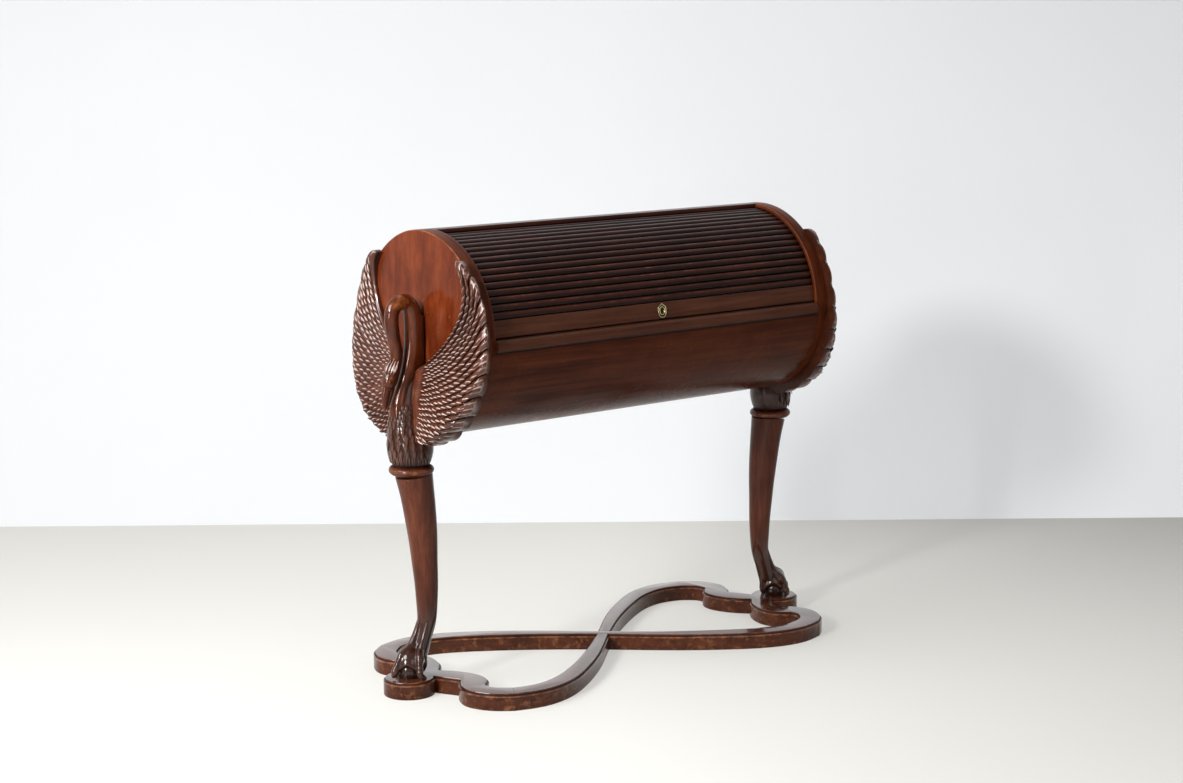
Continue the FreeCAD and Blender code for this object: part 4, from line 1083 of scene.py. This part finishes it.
# Breast: a feathered bulb between the collar and the neck
# rows are (up, out, half depth, half width), feathers are (up, length, width)
breastCut = {
    "rows": [(-0.279, 0.033, 0.039, 0.039), (-0.270, 0.033, 0.043, 0.043), (-0.256, 0.033, 0.047, 0.047),
             (-0.240, 0.0335, 0.049, 0.049), (-0.224, 0.035, 0.0485, 0.047), (-0.207, 0.037, 0.046, 0.043),
             (-0.190, 0.0385, 0.0435, 0.0385), (-0.172, 0.039, 0.041, 0.0335), (-0.154, 0.039, 0.0375, 0.029),
             (-0.135, 0.036, 0.032, 0.024), (-0.115, 0.032, 0.027, 0.020), (-0.095, 0.028, 0.022, 0.016)],
    "rings": 80, "sides": 72,
    "feathers": [(-0.143, 0.017, 0.0085), (-0.152, 0.019, 0.0095), (-0.162, 0.021, 0.011),
                 (-0.174, 0.024, 0.013), (-0.187, 0.027, 0.0155), (-0.202, 0.029, 0.017),
                 (-0.217, 0.030, 0.0175), (-0.232, 0.030, 0.0165), (-0.2475, 0.0265, 0.0062)],
    "high": 0.0017, "overlap": 0.92, "sway": 0.05, "slack": 0.001, "lookDown": 3,
    "plainBack": 0.002, "plainOver": -0.225, "plainTurn": 0.35,
    "dirt": (0.25, 0.5), "dirtAt": (-0.26, -0.278),
}
breast = smoothLine(breastCut["rows"], breastCut["rings"])
height, deep, wide = breast[:, 0], breast[:, 2], breast[:, 3]
a = circle(breastCut["sides"])
middle = swanPoint(breast[:, 1], height)
rings = middle[:, None] + np.stack((deep[:, None] * np.cos(a), wide[:, None] * np.sin(a),
                                    np.zeros((breastCut["rings"], breastCut["sides"]))), -1)
least, most = breastCut["dirt"]
grimeAndShade = np.repeat(least + most * ease(*breastCut["dirtAt"], height), breastCut["sides"])
swanBreast = outward(addMesh("swanBreastLeft", *skin(rings), {"dirt": grimeAndShade}))
spots = []
for row, (up, long, broad) in enumerate(breastCut["feathers"]):
    k = int(np.argmin(np.abs(height - up)))
    low = max(k - breastCut["lookDown"], 0)
    count = int(round(math.pi * (deep[k] + wide[k]) / (broad * breastCut["overlap"])))
    for j in range(count):
        a = 2 * math.pi * (j + 0.5 * (row % 2)) / count
        a = a + chance.uniform(-breastCut["sway"], breastCut["sway"])
        c, s = math.cos(a), math.sin(a)
        place = middle[k] + np.array((c * deep[k], s * wide[k], 0))
        behind = place[0] > -drum["faceX"] - breastCut["plainBack"] and up > breastCut["plainOver"]
        if behind or c > breastCut["plainTurn"]:         # plain on the inner side
            continue
        normal = unit(np.array((c / deep[k], s / wide[k], 0)))
        ahead = middle[low] - middle[k] + np.array((c * (deep[low] - deep[k]), s * (wide[low] - wide[k]), 0))
        slack = chance.uniform(-breastCut["slack"], breastCut["slack"])
        ahead = unit(ahead + np.array((0, slack, 0)))
        normal = unit(normal - np.dot(normal, ahead) * ahead)
        spots.append((place, ahead, normal, (broad, long, breastCut["high"])))
plant(swanBreast, spots, "breast")
dressPair(swanBreast, "breast", "swan_breast", 50)
print("swans: wings, necks, breasts")


# Legs: a curved shaft that ends in a claw holding a ball; shaft, claws and tendons are fused and smoothed
legLow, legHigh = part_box("leg_collar_left")
legCut = {
    "x": -(legLow.x + legHigh.x) / 2, "top": legLow.z, "collar": legHigh.z - legLow.z,
    "padX": 0.5435, "base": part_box("base_end_left")[1].z, "ankle": 0.113,
    # (share of the way up from the ankle, outwards, radius), and below it (above the pad, outwards, radius)
    "shaft": [(1, -0.006, 0.0405), (0.866, -0.014, 0.037), (0.691, -0.022, 0.034), (0.544, -0.027, 0.031),
              (0.4, -0.030, 0.028), (0.256, -0.033, 0.0255), (0.121, -0.0335, 0.023)],
    "ankleRows": [(0.113, -0.031, 0.0205), (0.084, -0.022, 0.0192), (0.064, -0.015, 0.0195),
                  (0.044, -0.008, 0.020)],
    "rings": 90, "sides": 44, "voxel": 0.0016, "smooth": 3, "smoothing": 0.5, "clear": 0.0002,
    "wear": 0.5, "wearNear": (0.016, 0.008), "dirt": 0.3, "dirtUp": (0.14, 0.05), "polishUp": (0.21, 0.11),
}
# claws and tendons from the pad's middle, in mm: (inwards, sideways, above the pad, radius)
clawCut = {
    "front": [(32, 0, 70, 10), (12, 0, 65, 9.5), (-6, 0, 58, 9), (-18, 0, 49, 10.4), (-26, 0, 39, 8.2),
              (-32, 0, 28, 7.4), (-37, 0, 17, 8.8), (-40.5, 0, 9, 6.2), (-42, 0, 4, 3)],
    "side": [(30, 0, 68, 10), (20, 14, 61, 9.5), (12, 24, 54, 9), (7, 31, 45, 10.4), (3, 35.5, 35, 8.2),
             (1, 38.5, 26, 7.4), (-1, 41.5, 16, 8.6), (-2, 44, 8.5, 6), (-2, 45, 4, 3)],
    "back": [(34, 0, 62, 12), (38, 0, 46, 10.5), (38, 0, 34, 8.5), (38, 0, 20, 8.5), (36, 0, 10, 6),
             (35, 0, 4, 3.5)],
    "frontTendon": [(-10, 0, 58, 5.5), (4, 0, 69, 5.5), (16, 0, 86, 5), (25, 0, 110, 4), (31, 0, 140, 2)],
    "sideTendon": [(11, 26, 53, 5.5), (18, 20, 66, 5.5), (27, 17, 86, 5), (36, 16, 110, 4), (43, 14, 140, 2)],
}
clawRound = {"rings": 40, "sides": 18, "flat": 0.92, "lie": (0.6, 0.5, 0.3)}
knuckles = [(-18, 0, 49), (7, 31, 45), (7, -31, 45), (-37, 0, 17), (-1, 41, 16), (-1, -41, 16)]
# the web over the ball, in mm: two shells of (size, height), with a rim that arches up between the claws
hoodCut = {"middle": (2, 0, 13), "outer": (35.0, 1.5), "inner": (27.5, 1.0), "rim": (15.6, 8), "arches": 4,
           "sides": 64, "rings": 16, "close": 0.98}
pad = np.array((-legCut["padX"], 0, legCut["base"]))
ankle = legCut["base"] + legCut["ankle"]
rows = [(ankle + k * (legCut["top"] - legCut["base"] - legCut["ankle"]), s, q) for k, s, q in legCut["shaft"]]
rows += [(legCut["base"] + k, s, q) for k, s, q in legCut["ankleRows"]]
line = smoothLine([(-legCut["x"] - s, 0, z, q) for z, s, q in rows], legCut["rings"])
line[0, 2] = legCut["top"]
shells = [skin(sweep(line[:, :3], line[:, 3], line[:, 3], legCut["sides"]))]
for key, run in clawCut.items():
    for side in (1, -1) if key.startswith("side") else (1,):
        claw = smoothLine(np.array(run, float) * 0.001 * (1, side, 1, 1), clawRound["rings"])
        claw[:, 0] -= legCut["padX"]
        claw[:, 2] += legCut["base"]
        lie = np.array(clawRound["lie"]) * (1, side, 1) if key.startswith("side") else (0, 1, 0)
        wide = claw[:, 3] * clawRound["flat"]
        shells.append(skin(sweep(claw[:, :3], wide, claw[:, 3], clawRound["sides"], lie)))
a = circle(hoodCut["sides"])
rim = hoodCut["rim"][0] - hoodCut["rim"][1] * np.cos(hoodCut["arches"] * a)
layers = [(*hoodCut["outer"], k) for k in np.linspace(0, hoodCut["close"], hoodCut["rings"])]
layers += [(*hoodCut["inner"], k) for k in np.linspace(hoodCut["close"], 0, hoodCut["rings"])]
hood = []
for size, tall, k in layers:
    climb = np.radians(90 - (90 - rim) * (1 - k))
    flat = np.cos(climb)
    hood.append(size * np.stack((flat * np.cos(a), flat * np.sin(a), tall * np.sin(climb)), -1))
hood = (np.array(hood + hood[:1]) + np.array(hoodCut["middle"])) * 0.001 + pad
shells.append(skin(hood, caps=False))
leg = outward(addMesh("legLeft", *joined(shells)))
tool = leg.modifiers.new("fuse", "REMESH")
tool.mode = "VOXEL"
tool.voxel_size = legCut["voxel"]
tool = leg.modifiers.new("ease", "SMOOTH")
tool.factor = legCut["smoothing"]
tool.iterations = legCut["smooth"]
settle(leg)
points = np.empty(len(leg.data.vertices) * 3)
leg.data.vertices.foreach_get("co", points)
points = points.reshape(-1, 3)
points[:, 2] = np.clip(points[:, 2], legCut["base"] + legCut["clear"], legCut["top"])
leg.data.vertices.foreach_set("co", points.ravel())
height = points[:, 2]
near = np.min(np.linalg.norm(points[:, None] - (np.array(knuckles) * 0.001 + pad)[None], axis=-1), axis=1)
wear = legCut["wear"] * ease(*legCut["wearNear"], near)
low = ease(*legCut["dirtUp"], height) * legCut["dirt"] * (1 - wear)
setMarks(leg.data, {"wear": wear, "dirt": low, "polish": ease(*legCut["polishUp"], height)})
dressPair(leg, "leg", "leg", 70)


def lathe(profile, x, y, z, sides):          # (r, height) outline turned about a standing axis
    a = circle(sides)
    return np.array([np.stack((x + q * np.cos(a), y + q * np.sin(a), np.full(sides, z + h)), -1)
                     for q, h in profile])


ballCut = {"size": 0.0268, "up": 0.0135, "rings": 26, "sides": 56, "pole": 0.03}
size, up = ballCut["size"], ballCut["up"]
lift = np.linspace(-math.asin(up / size), math.pi / 2 - ballCut["pole"], ballCut["rings"])
profile = [(size * math.cos(b), up + size * math.sin(b)) for b in lift]
rings = lathe(profile, -legCut["padX"], 0, legCut["base"], ballCut["sides"])
dressPair(addMesh("footBallLeft", *skin(rings)), "foot")

# Collars: a bead between two small steps
collarCut = {"bead": (0.040, 0.0086), "beadTurn": 54, "beadSteps": 13, "sides": 112,
             "step": [(0.020, 0), (0.0402, 0), (0.0418, 0.0005), (0.0428, 0.0017)],
             "wear": [0] * 4 + [0.1, 0.2, 0.3, 0.4, 0.45, 0.5, 0.5, 0.5, 0.45, 0.4, 0.3, 0.2, 0.1] + [0] * 4,
             "dirt": [0.5] * 4 + [0.3] + [0] * 11 + [0.4, 0.9, 0.9, 0.7, 0.5]}
mid, size = collarCut["bead"]
high = legCut["collar"]
bend = np.radians(np.linspace(-collarCut["beadTurn"], collarCut["beadTurn"], collarCut["beadSteps"]))
profile = collarCut["step"] + [(mid + size * math.cos(b), high / 2 + size * math.sin(b)) for b in bend]
profile += [(q, high - h) for q, h in reversed(collarCut["step"])]
rings = lathe(profile, -legCut["x"], 0, legCut["top"], collarCut["sides"])
marks = {key: np.repeat(collarCut[key], collarCut["sides"]) for key in ("wear", "dirt")}
dressPair(addMesh("legCollarLeft", *skin(rings), marks), "leg", "leg_collar")
print("legs and collars:", len(leg.data.polygons), "faces a leg")


# Base, in mm: two S rails lapped at the middle and two looped ends, with a small moulding along the top edge
baseCut = {
    "jointOut": (450, 253), "jointIn": (421, 206),
    "railOut": [(390, 268.5), (300, 254), (210, 203), (95, 112), (27, 48)],
    "railIn": [(27, 2), (150, 104), (240, 166), (320, 207), (380, 216)],
    "lobeOut": [(487, 222), (505, 190), (511, 160), (505, 133), (492, 108), (476, 88)],
    "lobeIn": [(440, 190), (451, 172), (450, 155)],
    "bulge": [(450, 155), (430, 136), (416, 95), (422, 62), (440, 25), (461, 0)],
    "pad": (543.5, 56.5, 138),       # out, radius, and half its turn
    "railPoints": 110, "padPoints": 90, "lobePoints": 46, "innerPoints": 20, "bulgePoints": 48,
    # (in from the edge, in from a joint, height), with the marks of each step
    "moulding": [(1.6, 0, 0), (0.6, 0, 1.6), (0.6, 0, 15), (0.6, 0, 27.6), (0.2, 0, 28.4), (0, 0, 29.8),
                 (0.4, 0, 31.6), (1.6, 0, 32.6), (3.2, 0, 32.3), (4.4, 0, 32.4), (4.7, 0, 33.4),
                 (4.8, 0, 35.6), (5.6, 0.1, 36.7), (7.2, 0.35, 37)],
    "wear": [0.45, 0.4, 0.34, 0.36, 0.45, 0.6, 0.55, 0.2, 0, 0, 0.1, 0.35, 0.5, 0.05],
    "dirt": [0.8, 0.2, 0, 0.15, 0.2, 0, 0, 0.3, 1, 1, 0.8, 0.1, 0, 0],
    "polish": [0, 0, 0, 0, 0, 0.4, 0.6, 0.6, 0.3, 0.3, 0.3, 0.5, 0.75, 0.75],
    "lapFrom": 2, "lapTop": 45, "sharpest": 0.45, "corner": 0.3,
}


def inset(loop, seam, gap, seamGap):     # moves each edge inwards; seam edges by their own amount
    ahead = unit(np.roll(loop, -1, axis=0) - loop)
    inward = np.stack((-ahead[:, 1], ahead[:, 0]), -1)
    move = np.where(seam, seamGap, gap)
    n0, d0 = np.roll(inward, 1, axis=0), np.roll(move, 1)
    mixed = unit(n0 + inward)
    spread = np.clip(np.sum(mixed * inward, -1), baseCut["sharpest"], 1)
    moved = loop + mixed * ((d0 + move) / 2 / spread)[:, None]
    turn = n0[:, 0] * inward[:, 1] - n0[:, 1] * inward[:, 0]
    for i in np.nonzero((np.abs(turn) > baseCut["corner"]) & (np.abs(d0 - move) > 1e-9))[0]:
        moved[i] = loop[i] + np.linalg.solve(np.array((n0[i], inward[i])), np.array((d0[i], move[i])))
    return moved


def mouldedPiece(name, loop, seam, steps):   # only the whole moulding carries marks, not the cutter
    area = np.sum(loop[:, 0] * np.roll(loop[:, 1], -1) - np.roll(loop[:, 0], -1) * loop[:, 1])
    if area < 0:
        loop = loop[::-1]
        seam = np.roll(seam[::-1], -1)
    rings = []
    for gap, seamGap, z in steps:
        flat = inset(loop, seam, gap, seamGap)
        rings.append(np.column_stack((flat, np.full(len(flat), z))))
    marks = {}
    if steps is baseCut["moulding"]:
        marks = {key: np.repeat(baseCut[key], len(loop)) for key in ("wear", "dirt", "polish")}
    return outward(addMesh(name, *skin(np.array(rings) * 0.001), marks))


edge = smoothLine([baseCut["jointOut"], *baseCut["railOut"],
                   *[(-x, -y) for x, y in baseCut["railIn"] + [baseCut["jointIn"]]]], baseCut["railPoints"])
loop = np.concatenate((edge, -edge))
seam = np.zeros(len(loop), bool)
seam[[len(edge) - 1, -1]] = True
flipY = np.array((1, -1))
moulding = baseCut["moulding"]
railA = mouldedPiece("baseRailA", loop, seam, moulding)
railB = mouldedPiece("baseRailB", loop * flipY, seam, moulding)
upper = moulding[baseCut["lapFrom"]:] + [(*moulding[-1][:2], baseCut["lapTop"])]
cutter = mouldedPiece("lapCutter", loop * flipY, seam, upper)
carve(railA, cutter)
carve(railB, railA)
drop(cutter)
dress(railA, "base", ["base_rail_a"], angle=32)
dress(railB, "base", ["base_rail_b"], angle=32)

padX, padR, padTurn = baseCut["pad"]
a = np.radians(np.linspace(padTurn, -padTurn, baseCut["padPoints"]))
lobe = smoothLine([baseCut["jointOut"], *baseCut["lobeOut"]], baseCut["lobePoints"])
inner = smoothLine([baseCut["jointIn"], *baseCut["lobeIn"]], baseCut["innerPoints"])
bulge = smoothLine(baseCut["bulge"], baseCut["bulgePoints"])
loop = np.concatenate((
    lobe, np.stack((padX + padR * np.cos(a), padR * np.sin(a)), -1), lobe[::-1] * flipY,
    inner * flipY, bulge[1:] * flipY, bulge[-2:0:-1], inner[::-1]))
seam = np.zeros(len(loop), bool)
seam[[2 * len(lobe) + len(a) - 1, -1]] = True
dressPair(mouldedPiece("baseEndRight", loop, seam, moulding), "base", "base_end", 32)
print("base: rails and ends")


# Drawer knobs, turned
knobCut = {
    "profile": [(0.0004, 0), (0.0064, 0), (0.0066, 0.0008), (0.0058, 0.0016), (0.0036, 0.0022),
                (0.0029, 0.0042), (0.0036, 0.0060), (0.0062, 0.0078), (0.0074, 0.0096), (0.0070, 0.0112),
                (0.0046, 0.0124), (0.0018, 0.0129), (0.0004, 0.0129)],
    "wear": [0, 0.3, 0.5, 0.2, 0, 0, 0, 0.4, 0.8, 0.8, 0.6, 0.5, 0.5], "sides": 40,
}
rings = lathe(knobCut["profile"], 0, 0, 0, knobCut["sides"])
rubbedAndSheen = np.repeat(knobCut["wear"], knobCut["sides"])
for level in ("Lower", "Upper"):
    for end in ("Left", "Right"):
        node = f"drawer_{level.lower()}_{end.lower()}"
        low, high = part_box(node + "_knob")
        spun = np.stack((rings[..., 0] + (low.x + high.x) / 2, high.y - rings[..., 2],
                         rings[..., 1] + (low.z + high.z) / 2), -1)
        knob = addMesh(f"knob{level}{end}", *skin(spun), {"wear": rubbedAndSheen})
        dress(knob, "brass", [node + "_knob"], node)

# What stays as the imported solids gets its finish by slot
slotFinish = {"mahogany": "rail", "tambour_wood": "rail", "carcass_wood": "plain", "interior_wood": "case",
              "brass": "brass", "iron": "iron", "leather": "leather", "canvas": "canvas"}
for part in frame["record"]["subparts"]:
    mesh = frame["nodes"][part["node"]].data
    mesh.materials.clear()
    mesh.materials.append(finishes[slotFinish[part["material_slot"]]])
drop(leaf)
print("knobs, and finishes of the packed solids")


# Camera
cameraCut = {"place": (-3.2756, -3.9734, 1.4577), "turn": -0.685, "dip": 0.165, "roll": -0.008, "lens": 70.10,
             "sensor": 36}
turn, dip, tilt = cameraCut["turn"], cameraCut["dip"], cameraCut["roll"]
ahead = Vector((-math.sin(turn) * math.cos(dip), math.cos(turn) * math.cos(dip), -math.sin(dip)))
right = Vector((math.cos(turn), math.sin(turn), 0))
over = right.cross(ahead)
right, over = (math.cos(tilt) * right + math.sin(tilt) * over, math.cos(tilt) * over - math.sin(tilt) * right)
camera = bpy.data.objects.new("camera", bpy.data.cameras.new("camera"))
camera.data.sensor_width = cameraCut["sensor"]
camera.data.lens = cameraCut["lens"]
facing = Matrix((right, over, -ahead)).transposed().to_4x4()
camera.matrix_world = Matrix.Translation(cameraCut["place"]) @ facing
scene.collection.objects.link(camera)
scene.camera = camera

# Floor and wall: matt, with a pale glow of their own that fades to the sides, away and upwards as a painted
# fall-off of light
stageCut = {
    "floor": {"colour": (0.43, 0.421, 0.397), "glow": (0.458, 0.452, 0.432),
              "right": 0.30, "left": 0.06, "away": 0.16, "rise": 0.0},
    "wall": {"colour": (0.63, 0.641, 0.655), "glow": (0.264, 0.269, 0.275),
             "right": 0.0, "left": 0.16, "away": 0.0, "rise": 0.50},
    "floorHalf": 9, "wallHalf": 8, "wallTall": 6, "wallAway": 1.321, "riseFrom": 0.6,
    "dark": (-4.6, -3.3), "darkEdge": 0.8, "cloud": (1.3, 3, 0.5), "uneven": (0.97, 1.03),
}
level = Vector((ahead.x, ahead.y, 0)).normalized()
along = Vector((level.y, -level.x, 0))


def seenRays(bench):                 # 1 for what the camera, a reflection or a glass sees
    eye, gloss, glass = [bench.add("ShaderNodeLightPath", out=f"Is {kind} Ray")
                         for kind in ("Camera", "Glossy", "Transmission")]
    return eye.top(gloss).top(glass)


def reachAlong(bench, place, way):
    return bench.add("ShaderNodeVectorMath", {"operation": "DOT_PRODUCT"}, {
        0: place, 1: tuple(way)}, out="Value")


def stagePlane(name, verts, cut, backOpen):
    plane = addMesh(name, verts, [(0, 1, 2, 3)])
    finish, bench, place = newFinish(name)
    cloud = bench.noise(place, *stageCut["cloud"])
    tint = bench.mix(cloud, *[tuple(k * c for c in cut["colour"]) for k in stageCut["uneven"]])
    matt = bench.add("ShaderNodeBsdfDiffuse", None, {"Color": tint})
    across = reachAlong(bench, place, along)
    depth = reachAlong(bench, place, level)
    height = bench.add("ShaderNodeSeparateXYZ", None, {"Vector": place}, out="Z")
    low, high = stageCut["dark"]                     # painted shade: no glow on a stretch out of the picture, on the left
    slope = stageCut["darkEdge"]
    lit = ((across - high) * slope).clamp().top(((low - across) * slope).clamp())
    # painted fall-off of light in the glow
    shade = 1 - across.top(0) * cut["right"] - (0 - across).top(0) * cut["left"]
    shade = shade - depth * cut["away"] - (height - stageCut["riseFrom"]) * cut["rise"]
    light = bench.add("ShaderNodeEmission", None, {
        "Color": cut["glow"], "Strength": seenRays(bench) * shade.top(0) * lit})
    both = bench.add("ShaderNodeAddShader", None, {0: matt, 1: light})
    if backOpen:                                     # seen from behind, the wall is clear
        behind = bench.add("ShaderNodeNewGeometry", out="Backfacing")
        clear = bench.add("ShaderNodeBsdfTransparent")
        both = bench.add("ShaderNodeMixShader", None, {0: behind, 1: both, 2: clear})
    bench.add("ShaderNodeOutputMaterial", None, {"Surface": both})
    plane.data.materials.append(finish)


h = stageCut["floorHalf"]
stagePlane("floor", [(-h, -h, 0), (h, -h, 0), (h, h, 0), (-h, h, 0)], stageCut["floor"], False)
foot = level * stageCut["wallAway"]
wide = along * stageCut["wallHalf"]
up = Vector((0, 0, stageCut["wallTall"]))
stagePlane("wall", [foot - wide, foot + wide, foot + wide + up, foot - wide + up], stageCut["wall"], True)

# Soft lamps; the strip draws the narrow highlights
lightCut = {
    "key": {"place": (-8.1, -2.25, 3.9), "aim": (0, 0, 0.6), "size": (1.3, 1.3), "power": 400,
            "colour": (1.0, 0.985, 0.96), "spread": 180},
    "softbox": {"place": (-2.5, 0.1, 2.0), "aim": (-0.4, 0, 0.7), "size": (1.6, 1.05), "power": 54,
                "colour": (0.98, 0.99, 1.0), "spread": 180},
    "fill": {"place": (-1.6, -4.6, 2.6), "aim": (0, 0, 0.6), "size": (2.0, 2.0), "power": 14,
             "colour": (0.98, 0.99, 1.0), "spread": 180},
    "above": {"place": (0.4, 0.2, 3.4), "aim": (0, 0, 0.6), "size": (2.0, 2.0), "power": 9,
              "colour": (1.0, 1.0, 1.0), "spread": 180},
    "strip": {"place": (-3.4, -1.0, 1.0), "aim": (-0.55, 0, 0.55), "size": (0.13, 0.9), "power": 1.5,
              "colour": (0.95, 0.98, 1.0), "spread": 50},
}
for name, cut in lightCut.items():
    lamp = bpy.data.lights.new(name, "AREA")
    lamp.shape = "ELLIPSE"
    lamp.size, lamp.size_y = cut["size"]
    lamp.energy = cut["power"]
    lamp.color = cut["colour"]
    lamp.spread = math.radians(cut["spread"])
    holder = bpy.data.objects.new(name, lamp)
    aim = Vector(cut["aim"]) - Vector(cut["place"])
    holder.matrix_world = Matrix.Translation(cut["place"]) @ aim.to_track_quat("-Z", "Y").to_matrix().to_4x4()
    scene.collection.objects.link(holder)

# The room all round, darker towards the front
skyCut = {"front": 0.37, "back": 0.85, "from": 0.1, "rise": 2.0, "colour": (0.98, 0.99, 1.0)}
world = bpy.data.worlds.new("studio")
scene.world = world
world.use_nodes = True
world.node_tree.nodes.clear()
bench = Bench(world.node_tree)
way = bench.add("ShaderNodeTexCoord", out="Generated")
depth = bench.add("ShaderNodeSeparateXYZ", None, {"Vector": way}, out="Y")
share = ((depth + skyCut["from"]) * skyCut["rise"]).clamp()
sky = bench.add("ShaderNodeBackground", None, {
    "Color": skyCut["colour"], "Strength": skyCut["front"] + share * (skyCut["back"] - skyCut["front"])})
bench.add("ShaderNodeOutputWorld", None, {"Surface": sky})
print("camera, stage, lights")
